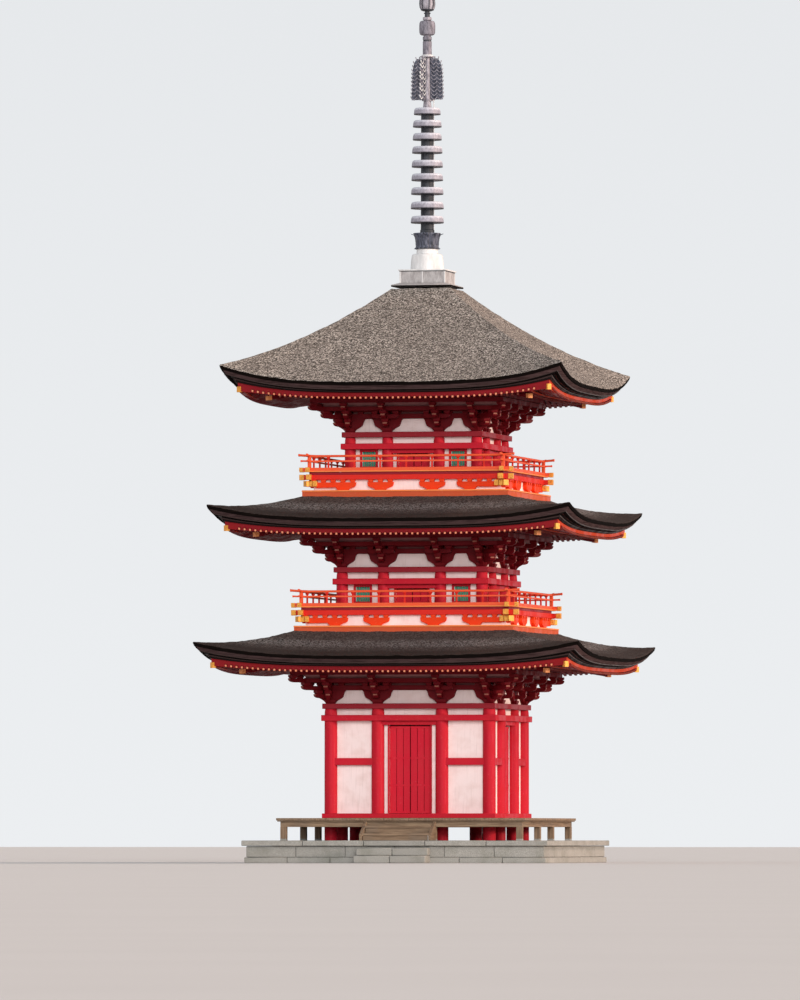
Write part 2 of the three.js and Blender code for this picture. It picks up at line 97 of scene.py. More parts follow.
class Paint:
    """A node material on a Principled shader, with short calls for the nodes used here."""

    def __init__(self, name, roughness, metallic=0.0, specular=0.5):
        self.material = bpy.data.materials.new(name)
        self.material.use_nodes = True
        self.nodes = self.material.node_tree.nodes
        self.links = self.material.node_tree.links
        self.shader = self.nodes["Principled BSDF"]
        self.shader.inputs["Roughness"].default_value = roughness
        self.shader.inputs["Metallic"].default_value = metallic
        self.shader.inputs["Specular IOR Level"].default_value = specular

    def node(self, kind, inputs=(), **settings):
        made = self.nodes.new(kind)
        for key, value in settings.items():
            setattr(made, key, value)
        for key, value in dict(inputs).items():
            if isinstance(value, bpy.types.NodeSocket):
                self.links.new(value, made.inputs[key])
            else:
                made.inputs[key].default_value = value
        return made

    def where(self, stretch=(1, 1, 1)):
        place = self.node("ShaderNodeTexCoord").outputs["Object"]
        return self.node("ShaderNodeMapping", {"Vector": place, "Scale": stretch}).outputs[0]

    def grain(self, stretch):
        place = self.node("ShaderNodeAttribute", attribute_name="grain").outputs["Vector"]
        return self.node("ShaderNodeMapping", {"Vector": place, "Scale": stretch}).outputs[0]

    def facing_right(self):
        normal = self.node("ShaderNodeNewGeometry").outputs["True Normal"]
        return self.node("ShaderNodeSeparateXYZ", {"Vector": normal}).outputs["X"]

    def tone(self):
        return self.node("ShaderNodeAttribute", attribute_name="tone").outputs["Fac"]

    def noise(self, place, scale, detail, rough=0.55):
        inputs = {"Vector": place, "Scale": scale, "Detail": detail, "Roughness": rough}
        return self.node("ShaderNodeTexNoise", inputs).outputs[0]

    def cells(self, place, scale):
        inputs = {"Vector": place, "Scale": scale}
        return self.node("ShaderNodeTexVoronoi", inputs).outputs["Color"]

    def sums(self, first, second, how="MULTIPLY"):
        return self.node("ShaderNodeMath", {0: first, 1: second}, operation=how).outputs[0]

    def spread(self, value, low, high):
        """Stretches a middling noise value so that low goes to 0 and high to 1."""
        inputs = {"Value": value, "From Min": low, "From Max": high}
        return self.node("ShaderNodeMapRange", inputs, clamp=True).outputs[0]

    def blotches(self, scale, detail, low, high, stretch=(1, 1, 1)):
        """Soft patches from 0 to 1."""
        return self.spread(self.noise(self.where(stretch), scale, detail), low, high)

    def tint(self, colour, mask, share, other):
        """Lets another colour in by a share of the mask."""
        return self.mix(self.sums(mask, share), colour, other)

    def mix(self, share, first, second):
        made = self.node("ShaderNodeMix", data_type="RGBA")
        for socket, value in zip((made.inputs[0], made.inputs[6], made.inputs[7]), (share, first, second)):
            if isinstance(value, bpy.types.NodeSocket):
                self.links.new(value, socket)
            elif isinstance(value, tuple):
                socket.default_value = (*value, 1.0)
            else:
                socket.default_value = value
        return made.outputs[2]

    def finish(self, colour, height=None, bump=0.3, depth=0.002, roughness=None):
        self.links.new(colour, self.shader.inputs["Base Color"])
        if roughness is not None:
            self.links.new(roughness, self.shader.inputs["Roughness"])
        if height is not None:
            inputs = {"Height": height, "Strength": bump, "Distance": depth}
            normal = self.node("ShaderNodeBump", inputs).outputs[0]
            self.links.new(normal, self.shader.inputs["Normal"])
        return self.material


def shaded(colour, share):
    return tuple(share * c for c in colour)


def painted_timber(name, fresh, worn, dust, right_face_painted_light=None):
    """Old red paint on timber: fine grain, faded patches and a little dust.

    The fourth colour, where given, is painted light on faces turned to the right: a painted highlight on
    the fascia and the bark line, painted shade on the rafter ends.
    """
    paint = Paint(name, 0.5, specular=0.10)
    fibre = paint.noise(paint.grain((5, 60, 60)), 1.0, 4)
    patch = paint.blotches(3.5, 4, 0.42, 0.68)
    colour = paint.tint(fresh, patch, 0.55, worn)
    colour = paint.tint(colour, paint.spread(paint.tone(), -0.6, 1.6), 0.35, shaded(fresh, 0.72))
    colour = paint.tint(colour, paint.blotches(38, 3, 0.62, 0.75), 0.35, dust)
    colour = paint.tint(colour, paint.spread(fibre, 0.35, 0.75), 0.16, shaded(fresh, 0.55))
    # Painted light: faces turned to the right take the fourth colour.
    if right_face_painted_light:
        colour = paint.mix(paint.spread(paint.facing_right(), 0.4, 0.8), colour, right_face_painted_light)
    return paint.finish(colour, fibre, 0.25, 0.002, paint.spread(patch, -1.0, 1.4))


def lime_plaster(name, clean, stained):
    paint = Paint(name, 0.9, specular=0.2)
    colour = paint.tint(clean, paint.blotches(4.5, 5, 0.45, 0.72), 0.6, stained)
    runs = paint.blotches(1.0, 3, 0.55, 0.8, (30, 30, 2.5))
    colour = paint.tint(colour, runs, 0.35, shaded(stained, 0.75))
    trowel = paint.noise(paint.where(), 22, 4)
    return paint.finish(colour, trowel, 0.25, 0.003)


def bark(name, light, middle, dark, rim=None, painted_highlight_band=None):
    """Layered bark shingles in chips. rim tints a band along the eaves; the colour after it is a painted
    highlight, a lighter band higher up the slope.
    """
    paint = Paint(name, 0.95, specular=0.12)
    chips = paint.noise(paint.where((1, 1, 2.2)), 32, 5, 0.75)
    flakes = paint.cells(paint.where((1, 1, 2.4)), 48)
    crumbs = paint.noise(paint.where((1, 1, 2.0)), 110, 3, 0.7)
    speckle = paint.sums(paint.sums(chips, 0.50), paint.sums(flakes, 0.32), "ADD")
    speckle = paint.sums(speckle, paint.sums(crumbs, 0.18), "ADD")
    colour = paint.mix(paint.spread(speckle, 0.50, 0.62), middle, light)
    colour = paint.mix(paint.spread(speckle, 0.49, 0.36), colour, dark)
    inward = paint.tone()
    if rim:
        colour = paint.tint(colour, paint.spread(inward, 0.52, 0.30), 0.80, rim)
    # Painted highlight: a lighter band up the slope from the eaves.
    if painted_highlight_band:
        line = paint.sums(paint.spread(inward, 0.58, 0.72), paint.spread(inward, 1.10, 0.92))
        colour = paint.tint(colour, line, paint.spread(speckle, 0.44, 0.62), painted_highlight_band)
    colour = paint.tint(colour, paint.blotches(1.1, 4, 0.42, 0.70), 0.35, middle)
    place = paint.node("ShaderNodeCombineXYZ", {0: inward}).outputs[0]
    courses = paint.node("ShaderNodeTexWave", {"Vector": place, "Scale": 3.4}).outputs["Fac"]
    height = paint.sums(speckle, paint.sums(courses, 0.25), "ADD")
    return paint.finish(colour, height, 0.55, 0.02)


def bark_edge(name, light, dark):
    """The cut edge of the bark layers, in fine level lines."""
    paint = Paint(name, 0.95, specular=0.03)
    layers = paint.noise(paint.where((3, 3, 150)), 1.0, 2)
    colour = paint.mix(paint.spread(layers, 0.38, 0.66), dark, light)
    colour = paint.tint(colour, paint.blotches(6, 3, 0.5, 0.75), 0.5, dark)
    return paint.finish(colour, layers, 0.5, 0.006)


def weathered_boards(name, light, dark):
    paint = Paint(name, 0.8, specular=0.25)
    fibre = paint.noise(paint.grain((2.5, 42, 42)), 1.0, 5, 0.65)
    colour = paint.mix(paint.spread(fibre, 0.35, 0.68), dark, light)
    colour = paint.tint(colour, paint.tone(), 0.4, dark)
    colour = paint.tint(colour, paint.blotches(2.2, 4, 0.5, 0.75), 0.35, (0.16, 0.14, 0.12))
    return paint.finish(colour, fibre, 0.4, 0.003)


def granite(name, light, dark):
    paint = Paint(name, 0.85, specular=0.3)
    specks = paint.noise(paint.where(), 110, 2, 0.7)
    colour = paint.mix(paint.spread(specks, 0.38, 0.64), dark, light)
    colour = paint.tint(colour, paint.blotches(3.0, 5, 0.45, 0.7), 0.5, (0.17, 0.17, 0.13))
    colour = paint.tint(colour, paint.tone(), 0.35, dark)
    return paint.finish(colour, paint.noise(paint.where(), 45, 4), 0.5, 0.004)


def weathered_metal(name, light, dark, roughness, metallic, scale=14.0):
    """Bronze or lead that has weathered in runs and blotches."""
    paint = Paint(name, roughness, metallic)
    runs = paint.noise(paint.where((1, 1, 0.35)), scale, 4, 0.65)
    colour = paint.mix(paint.spread(runs, 0.36, 0.64), dark, light)
    colour = paint.tint(colour, paint.blotches(5 * scale, 2, 0.55, 0.75), 0.35, dark)
    return paint.finish(colour, runs, 0.25, 0.004)


def ring_metal(name, pale, body, dark):
    """Bronze rings with a painted highlight on the top and painted shade along the lower lip. The tone is
    the height.
    """
    paint = Paint(name, 0.5, 0.1)
    height = paint.tone()
    blotch = paint.spread(paint.noise(paint.where((1, 1, 0.6)), 30, 3, 0.6), 0.36, 0.64)
    colour = paint.mix(blotch, body, shaded(body, 0.72))
    # Painted shade along the lower lip.
    colour = paint.mix(paint.spread(height, 0.20, 0.04), colour, dark)
    # Painted highlight on the top.
    painted_top_highlight = paint.spread(paint.sums(height, paint.sums(blotch, 0.12), "SUBTRACT"), 0.52, 0.85)
    colour = paint.mix(painted_top_highlight, colour, pale)
    return paint.finish(colour, blotch, 0.15, 0.003)


def gilt(name, bright, rubbed):
    paint = Paint(name, 0.48, 0.25, 0.35)
    worn = paint.blotches(40, 3, 0.45, 0.7)
    return paint.finish(paint.mix(worn, bright, rubbed), worn, 0.2, 0.001)


# Looks by the function that makes them, with what it takes after the name

LOOK_COLOURS = {
    painted_timber: {
        "vermilion": ((0.54, 0.010, 0.028), (0.54, 0.030, 0.034), (0.62, 0.13, 0.13)),
        "orange": ((0.80, 0.044, 0.006), (0.76, 0.07, 0.02), (0.74, 0.26, 0.13)),
        "rail_orange": ((0.86, 0.105, 0.038), (0.82, 0.15, 0.07), (0.84, 0.38, 0.28)),
        "pale_orange": ((0.94, 0.25, 0.070), (0.86, 0.28, 0.11), (0.90, 0.48, 0.25)),
        "sill_orange": ((0.59, 0.088, 0.030), (0.57, 0.12, 0.055), (0.66, 0.30, 0.19)),
        "beam_red": ((0.70, 0.024, 0.016), (0.66, 0.040, 0.030), (0.68, 0.15, 0.11)),
        "door_red": ((0.63, 0.013, 0.034), (0.59, 0.034, 0.048), (0.64, 0.18, 0.18)),
        # Painted shade: a darker copy of the vermilion for the wall plate under the brackets and the edge
        # of the balcony floor.
        "plate_red": ((0.285, 0.015, 0.026), (0.32, 0.032, 0.040), (0.40, 0.15, 0.14)),
        # The fascia red is painted shade and light: dark for the shade under the bark edge, with a bright
        # fourth colour, a painted highlight, on faces turned to the right.
        "fascia_red": (
            (0.245, 0.007, 0.013), (0.26, 0.016, 0.014), (0.34, 0.08, 0.055), (0.56, 0.055, 0.018),
        ),
        # Painted shade: a darker copy of the vermilion for the rafters, blocks, arms and ties under the
        # eaves.
        "deep_red": ((0.150, 0.003, 0.008), (0.150, 0.008, 0.009), (0.22, 0.05, 0.04)),
        # Painted shade: a very dark red for the boards over the rafters and the panel behind the door
        # boards.
        "dark_red": ((0.060, 0.003, 0.005), (0.060, 0.006, 0.006), (0.09, 0.03, 0.025)),
        # Its fourth colour is painted shade on rafter ends turned to the right.
        "pale_ends": ((0.78, 0.29, 0.16), (0.72, 0.20, 0.09), (0.86, 0.50, 0.32), (0.30, 0.06, 0.03)),
        # Painted shade: the ochre ends darkened to brown for the shade under the eaves.
        "dull_ends": ((0.36, 0.12, 0.09), (0.30, 0.10, 0.07), (0.50, 0.30, 0.22)),
        "green": ((0.03, 0.45, 0.28), (0.05, 0.44, 0.29), (0.26, 0.52, 0.40)),
        # Painted shade: the board under the bark edge is very dark for the shade beneath the overhang.
        "black": ((0.006, 0.002, 0.002), (0.01, 0.004, 0.004), (0.02, 0.012, 0.012)),
        # Its fourth colour is a painted highlight, a pale grey on faces turned to the right.
        "bark_line": (
            (0.050, 0.030, 0.028), (0.040, 0.026, 0.025), (0.08, 0.06, 0.055), (0.075, 0.060, 0.060),
        ),
    },
    lime_plaster: {
        # The plaster's pink tint is partly its own and partly painted light: red light thrown back from
        # the timber.
        "plaster": ((0.95, 0.785, 0.765), (0.80, 0.60, 0.56)),
        # Painted shade: plaster darkened for the shade between the brackets under the eaves.
        "dusky_plaster": ((0.26, 0.095, 0.095), (0.16, 0.05, 0.05)),
        # Painted shade: white boards darkened for the shade under the eaves.
        "white_board": ((0.28, 0.115, 0.115), (0.19, 0.07, 0.07)),
        "window_panel": ((0.34, 0.29, 0.24), (0.24, 0.195, 0.155)),
    },
    bark: {
        "bark": ((0.58, 0.515, 0.46), (0.128, 0.110, 0.097), (0.012, 0.010, 0.009)),
        # Painted shade: a darker copy of the bark for the lower roofs, under the roofs above them.
        "dark_bark": (
            (0.125, 0.10, 0.092), (0.058, 0.046, 0.043), (0.016, 0.012, 0.011),
            # The last colour is a painted highlight band.
            (0.030, 0.019, 0.016), (0.24, 0.22, 0.215),
        ),
    },
    bark_edge: {
        # Painted shade: very dark for the undercut lip and the underside of the bark edge, and under the
        # edge of the finial's metal sheet.
        "bark_lip": ((0.008, 0.005, 0.004), (0.003, 0.002, 0.002)),
        "bark_edge": ((0.10, 0.060, 0.060), (0.032, 0.018, 0.018)),
    },
    weathered_boards: {"boards": ((0.36, 0.25, 0.16), (0.15, 0.095, 0.06))},
    granite: {"stone": ((0.46, 0.44, 0.40), (0.24, 0.23, 0.21))},
    weathered_metal: {
        "bronze": ((0.20, 0.20, 0.235), (0.040, 0.041, 0.055), 0.55, 0.30),
        "pale_bronze": ((0.44, 0.41, 0.455), (0.16, 0.146, 0.170), 0.6, 0.15, 24.0),
        "ball_bronze": ((0.29, 0.27, 0.315), (0.10, 0.092, 0.115), 0.6, 0.15, 24.0),
        "slate_bronze": ((0.118, 0.126, 0.170), (0.018, 0.021, 0.034), 0.5, 0.2, 20.0),
        "mast_metal": ((0.050, 0.056, 0.070), (0.011, 0.013, 0.018), 0.6, 0.1),
        "white_metal": ((0.80, 0.79, 0.785), (0.58, 0.57, 0.57), 0.6, 0.0, 7.0),
        "pale_panel": ((0.46, 0.44, 0.44), (0.27, 0.25, 0.25), 0.7, 0.0, 22.0),
        "grey_metal": ((0.46, 0.435, 0.43), (0.33, 0.31, 0.305), 0.6, 0.0, 9.0),
        "dull_gold": ((0.92, 0.36, 0.12), (0.66, 0.22, 0.07), 0.6, 0.0),
    },
    # The first colour is a painted highlight on the rings' tops and the last is painted shade along their
    # lower lips.
    ring_metal: {"ring_metal": ((0.64, 0.64, 0.71), (0.36, 0.34, 0.395), (0.008, 0.008, 0.014))},
    gilt: {"gold": ((0.80, 0.36, 0.055), (0.50, 0.19, 0.03))},
}
LOOKS = {name: kind(name, *values) for kind, rows in LOOK_COLOURS.items() for name, values in rows.items()}

# Places: each takes points of (across, out from the middle, up) to the building

SHARP_ANGLE = math.radians(38)
BEVEL_ANGLE = math.radians(40)


def to_world(points):
    """On the front side."""
    return points * np.array([1.0, -1.0, 1.0])


def turning(angle):
    """A matrix that turns rows of points round the upright axis."""
    c, s = math.cos(angle), math.sin(angle)
    return np.array([[c, s, 0], [-s, c, 0], [0, 0, 1]])


def quarter_turn(side):
    return np.round(turning(side * math.pi / 2))


def shifted(column):
    """On the front side, moved across to a column."""
    return lambda points: to_world(points + np.array([column, 0, 0]))


def around(angle):
    """Turned round the mast, for points of (out, aside, up)."""
    return lambda points: to_world(points @ turning(angle))


def along_diagonal(points):
    """Out along the diagonal of the right-hand front corner."""
    along, side, z = points[:, 1], points[:, 0] / math.sqrt(2), points[:, 2]
    return np.stack([along + side, side - along, z], axis=1)


# Mesh pieces


def span(sign, near, far):
    """A stretch to the right of the middle line, or mirrored to the left of it where sign is -1."""
    return sorted([sign * near, sign * far])


def about(middle, half):
    return (middle - half, middle + half)


def rectangle(x, out, z):
    return [(x[0], out, z[0]), (x[1], out, z[0]), (x[1], out, z[1]), (x[0], out, z[1])]


class Piece:
    """One mesh under way: points with a grain place and a tone, and faces with a look."""

    def __init__(self):
        self.points, self.grain, self.tone = [], [], []
        self.faces, self.looks, self.smooth = [], [], []
        self.count = 0

    def add(self, points, faces, looks, smooth, place):
        points = np.asarray(points, float)
        order = np.argsort(-np.ptp(points, axis=0))
        self.grain.append(points[:, order] + RANDOM.uniform(0, 40, 3))
        self.tone.append(np.full(len(points), RANDOM.uniform()))
        self.points.append(place(points))
        self.faces.extend([tuple(i + self.count for i in face) for face in faces])
        self.looks.extend(looks)
        self.smooth.extend([smooth] * len(faces))
        self.count += len(points)

    def loft(self, sections, look, smooth=False, place=to_world):
        """Rings of points joined one to the next, with a cap at each end."""
        sections = np.asarray(sections, float)
        rows, n = sections.shape[:2]
        faces = []
        for i in range(rows - 1):
            for j in range(n):
                k = (j + 1) % n
                faces.append((i * n + j, i * n + k, (i + 1) * n + k, (i + 1) * n + j))
        faces += [tuple(range(n))[::-1], tuple((rows - 1) * n + j for j in range(n))]
        self.add(sections.reshape(-1, 3), faces, [look] * len(faces), smooth, place)

    def box(self, look, x, out, z, place=to_world):
        self.loft([rectangle(x, at, z) for at in out], look, place=place)

    def across(self, look, outline, x, place=to_world):
        """An outline of (out, up) points run across from x[0] to x[1]."""
        self.loft([[(at, o, z) for o, z in outline] for at in x], look, place=place)

    def outward(self, look, outline, out, place):
        """An outline of (across, up) points run outward from out[0] to out[1]."""
        self.loft([[(x, at, z) for x, z in outline] for at in out], look, place=place)

    def upright(self, look, plan, levels, place=to_world):
        """A plan of (across, out) points run up from one level to the next."""
        self.loft([[(x, out, z) for x, out in plan] for z in levels], look, place=place)

    def mitred_outline(self, look, outline):
        """One side of a square ring of (out, up) points, cut at 45 degrees at both ends."""
        self.loft([[(t * out, out, z) for out, z in outline] for t in (-1, 1)], look)

    def mitred(self, look, inner, outer, z):
        """One side of a square ring of plain section."""
        self.mitred_outline(look, [(inner, z[0]), (outer, z[0]), (outer, z[1]), (inner, z[1])])

    def block(self, look, x, out, levels, place=to_world):
        """A bearing block: square rings of the given (height, half-width) levels."""
        plan = ((-1, -1), (1, -1), (1, 1), (-1, 1))
        self.loft([[(x + i * h, out + j * h, z) for i, j in plan] for z, h in levels], look, place=place)

    def turned(self, look, profile, x=0.0, out=0.0, sides=48):
        """A profile of (radius, height) points turned round an upright line."""
        angles = np.linspace(0, 2 * math.pi, sides, endpoint=False)
        rings = [[(x + r * math.cos(a), out + r * math.sin(a), z) for a in angles] for r, z in profile]
        self.loft(rings, look, smooth=True)

    def four_sides(self):
        """Repeats everything so far on the right, back and left sides."""
        points, grain, tone = [np.concatenate(rows) for rows in (self.points, self.grain, self.tone)]
        faces, count = list(self.faces), self.count
        for side in (1, 2, 3):
            self.points.append(points @ quarter_turn(side))
            self.grain.append(grain + 7.3 * side)
            self.tone.append((tone + 0.381 * side) % 1.0)
            self.faces.extend([tuple(i + side * count for i in face) for face in faces])
        self.looks, self.smooth = 4 * self.looks, 4 * self.smooth
        self.count = 4 * count

    def make(self, name, replaces, bevel=0.0):
        mesh = bpy.data.meshes.new(name)
        mesh.from_pydata(np.concatenate(self.points).tolist(), [], self.faces)
        names = sorted(set(self.looks))
        for look in names:
            mesh.materials.append(LOOKS[look])
        mesh.polygons.foreach_set("material_index", [names.index(look) for look in self.looks])
        mesh.polygons.foreach_set("use_smooth", self.smooth)
        grain = mesh.attributes.new("grain", "FLOAT_VECTOR", "POINT")
        grain.data.foreach_set("vector", np.concatenate(self.grain).ravel())
        tone = mesh.attributes.new("tone", "FLOAT", "POINT")
        tone.data.foreach_set("value", np.concatenate(self.tone))
        sheet = bmesh.new()
        sheet.from_mesh(mesh)
        bmesh.ops.recalc_face_normals(sheet, faces=sheet.faces)
        sheet.to_mesh(mesh)
        sheet.free()
        mesh.set_sharp_from_angle(angle=SHARP_ANGLE)
        obj = bpy.data.objects.new(name, mesh)
        bpy.context.scene.collection.objects.link(obj)
        if bevel:
            edges = obj.modifiers.new("bevel", "BEVEL")
            edges.width = bevel
            edges.segments = 1
            edges.limit_method = "ANGLE"
            edges.angle_limit = BEVEL_ANGLE
            edges.use_clamp_overlap = False
        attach(obj, "root")
        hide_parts(*replaces)


# Roof surfaces: a profile carried round a square plan whose corners rise


def corner_rise(storey, half):
    reach = (half - storey.lift_start) / (storey.eave - storey.lift_start)
    return storey.lift * np.maximum(0, reach) ** storey.lift_power


def rise_at(storey, x, out):
    half = np.maximum(np.abs(x), np.abs(out))
    share = np.minimum(np.abs(x), np.abs(out)) / np.maximum(half, 1e-6)
    return corner_rise(storey, half) * share ** CURVE_POWER


def eave_place(storey, lift_share):
    """Lifts a piece of the eaves with the curve of the corners, by a share of the bark's own lift."""

    def place(points):
        lifted = points.copy()
        lifted[:, 2] += lift_share * rise_at(storey, points[:, 0], points[:, 1])
        return to_world(lifted)

    return place


def roof_height(storey, half):
    inward = storey.eave - half
    return storey.eave_top + storey.slope * inward + storey.bend * inward ** 2


def side_shares(steps):
    """Places along a side from -1 to just short of 1, closer together near the corners."""
    places = np.linspace(-1, 1, steps, endpoint=False)
    return np.sign(places) * (1 - (1 - np.abs(places)) ** 1.35)


def square_turned(piece, storey, profile, looks, steps=48, smooth=False, roughen=None):
    """A closed ring carried round the four sides. looks are by profile edge.

    The profile's points are (half-size, height), with a share of the corner lift where it isn't whole.
    """
    halves, heights = np.array([point[:2] for point in profile]).T
    lifts = np.array([point[2] if len(point) > 2 else 1.0 for point in profile])
    columns = []
    for side in range(4):
        for share in side_shares(steps):
            z = heights + lifts * corner_rise(storey, halves) * abs(share) ** CURVE_POWER
            column = to_world(np.stack([halves * share, halves, z], axis=1))
            columns.append(column @ quarter_turn(side))
    points = np.concatenate(columns)
    if roughen is not None:
        points = roughen(points)
    n, m = len(profile), len(columns)
    faces = []
    for i in range(m):
        k = (i + 1) % m
        for j in range(n):
            after = (j + 1) % n
            faces.append((i * n + j, i * n + after, k * n + after, k * n + j))
    piece.add(points, faces, list(looks) * m, smooth, place=lambda p: p)
    piece.tone[-1] = storey.eave - np.tile(halves, m)


def lumps(points, scale, seed):
    """A smooth repeatable unevenness between about -1 and 1, as a sum of turned waves."""
    draw = np.random.default_rng(seed)
    total = np.zeros(len(points))
    for _ in range(14):
        direction = draw.normal(size=3)
        direction *= draw.uniform(0.6, 1.6) / (scale * np.linalg.norm(direction))
        total += np.sin(2 * math.pi * (points @ direction) + draw.uniform(0, 2 * math.pi))
    return total / math.sqrt(14)


ROOF_ROWS = 46
BARK_THICKNESS = 0.150
EAVE_EDGE = 0.142
SOFFIT_IN = 0.660

# The cut edge in two tiers: in from the rim, down from its top, and the look of the face below.

# The very dark faces are painted shade: the undercut top of the edge and its underside.
BARK_TIERS = [
    (0.002, 0.006, "bark_lip"), (0.000, 0.014, "bark_lip"), (0.004, 0.034, "bark_lip"),
    (0.014, 0.062, "bark_lip"), (0.038, 0.064, "bark_edge"), (0.052, 0.086, "bark_edge"),
    (0.088, 0.118, "bark_line"), (0.090, 0.134, "bark_lip"), (0.098, EAVE_EDGE, "bark_lip"),
    (0.150, EAVE_EDGE, "bark_lip"),
]


def bark_roof(storey):
    """Bark laid in two tiers at the eaves, with a thick cut edge and a smooth underside."""
    piece = Piece()
    # The lower roofs take the darker bark, painted shade under the roof above each.
    surface = "bark" if storey.number == 3 else "dark_bark"
    rim, top, inner = storey.eave, storey.eave_top, storey.roof_inner
    rows = np.linspace(inner, rim - 0.012, ROOF_ROWS)
    profile = [(half, roof_height(storey, half)) for half in rows]
    profile += [(rim - inward, top - down) for inward, down, _ in BARK_TIERS]
    # The underside of the bark is very dark, painted shade.
    profile += [(half, roof_height(storey, half) - BARK_THICKNESS) for half in (rim - SOFFIT_IN, inner)]
    looks = [surface] * ROOF_ROWS + [look for _, _, look in BARK_TIERS] + ["bark_lip"] * 2

    def roughen(points):
        number = storey.number
        uneven = 0.0035 * lumps(points, 0.30, number) + 0.0022 * lumps(points, 0.075, 9 + number)
        half = np.maximum(np.abs(points[:, 0]), np.abs(points[:, 1]))
        above = points[:, 2] > top - 0.02 + rise_at(storey, points[:, 0], points[:, 1])
        raised = points.copy()
        raised[:, 2] += np.where(above, uneven, 0.35 * uneven)
        shrink = 1 - np.where(above, 0, 0.3 * np.abs(uneven)) / half
        raised[:, :2] *= shrink[:, None]
        return raised

    square_turned(piece, storey, profile, looks, 150, True, roughen)
    piece.make(f"bark_roof_{storey.number}", [f"roof_{storey.number}"])


# Eaves: fascia boards, two rows of rafters, hip rafters and the boards over them

FLYING_TIP_IN = 0.235
FLYING_TIP_LOW = 0.285
FLYING_SLOPE = 0.22
BASE_TIP_IN = 0.690
BASE_TIP_LOW = 0.258
KIOI_IN = 0.665
FASCIA_IN = 0.262
RAFTER_END = 0.032
CORNER_CLEAR = 0.20
HIP_CLEAR = 0.07

# The lower members rise less at the corners than the bark does.

FASCIA_TOP_LIFT = 0.80
FASCIA_LOW_LIFT = 0.50
FLYING_LIFT = 0.75
KIOI_LIFT = 0.35
BASE_LIFT = 0.25


def flying_bottom(storey, out):
    return storey.eave_top - FLYING_TIP_LOW + FLYING_SLOPE * (storey.eave - FLYING_TIP_IN - out)


def base_bottom(storey, out):
    knots = [
        (storey.corner, storey.head + 0.823),
        (storey.corner + PURLIN_OUT, storey.head + 0.697),
        (storey.eave - BASE_TIP_IN, storey.eave_top - BASE_TIP_LOW),
    ]
    return float(np.interp(out, [k[0] for k in knots], [k[1] for k in knots]))


def rafter(piece, storey, x, start, tip, bottom, lift, end):
    """One rafter from start out to tip, in a few lengths where the corner curves it."""
    lengths = 1 if abs(x) < 0.4 * storey.eave else 3
    half, place = RAFTER_WIDTH / 2, eave_place(storey, lift)
    rings = []
    for out in np.linspace(start, tip, lengths + 1):
        low = bottom(storey, out)
        rings.append(rectangle(about(x, half), out, (low, low + RAFTER_HEIGHT)))
    # The rafter bodies are darker red, painted shade under the eaves.
    piece.loft(rings, "deep_red", place=place)
    low = bottom(storey, tip) + (RAFTER_HEIGHT - RAFTER_END) / 2
    half = RAFTER_END / 2
    piece.box(end, about(x, half), (tip - 0.001, tip + 0.002), (low, low + RAFTER_END), place)


def hip_rafter(piece, storey, start, tip, bottom, lift, drop, height, width, cap_look):
    """A rafter under the hip, that hangs a little below the others, with a metal cap on its end."""

    def place(points):
        lifted = points.copy()
        lifted[:, 2] += lift * corner_rise(storey, points[:, 1])
        return along_diagonal(lifted)

    def length(look, first, last, grow, count):
        half = width / 2 + grow
        rings = []
        for out in np.linspace(first, last, count):
            low = bottom(storey, out) - drop - grow
            rings.append(rectangle((-half, half), out, (low, low + height + 2 * grow)))
        piece.loft(rings, look, place=place)

    # The hip rafter's body is darker red, painted shade under the eaves.
    length("deep_red", start, tip, 0, 6)
    length(cap_look, tip - 0.05, tip + 0.004, 0.004, 2)


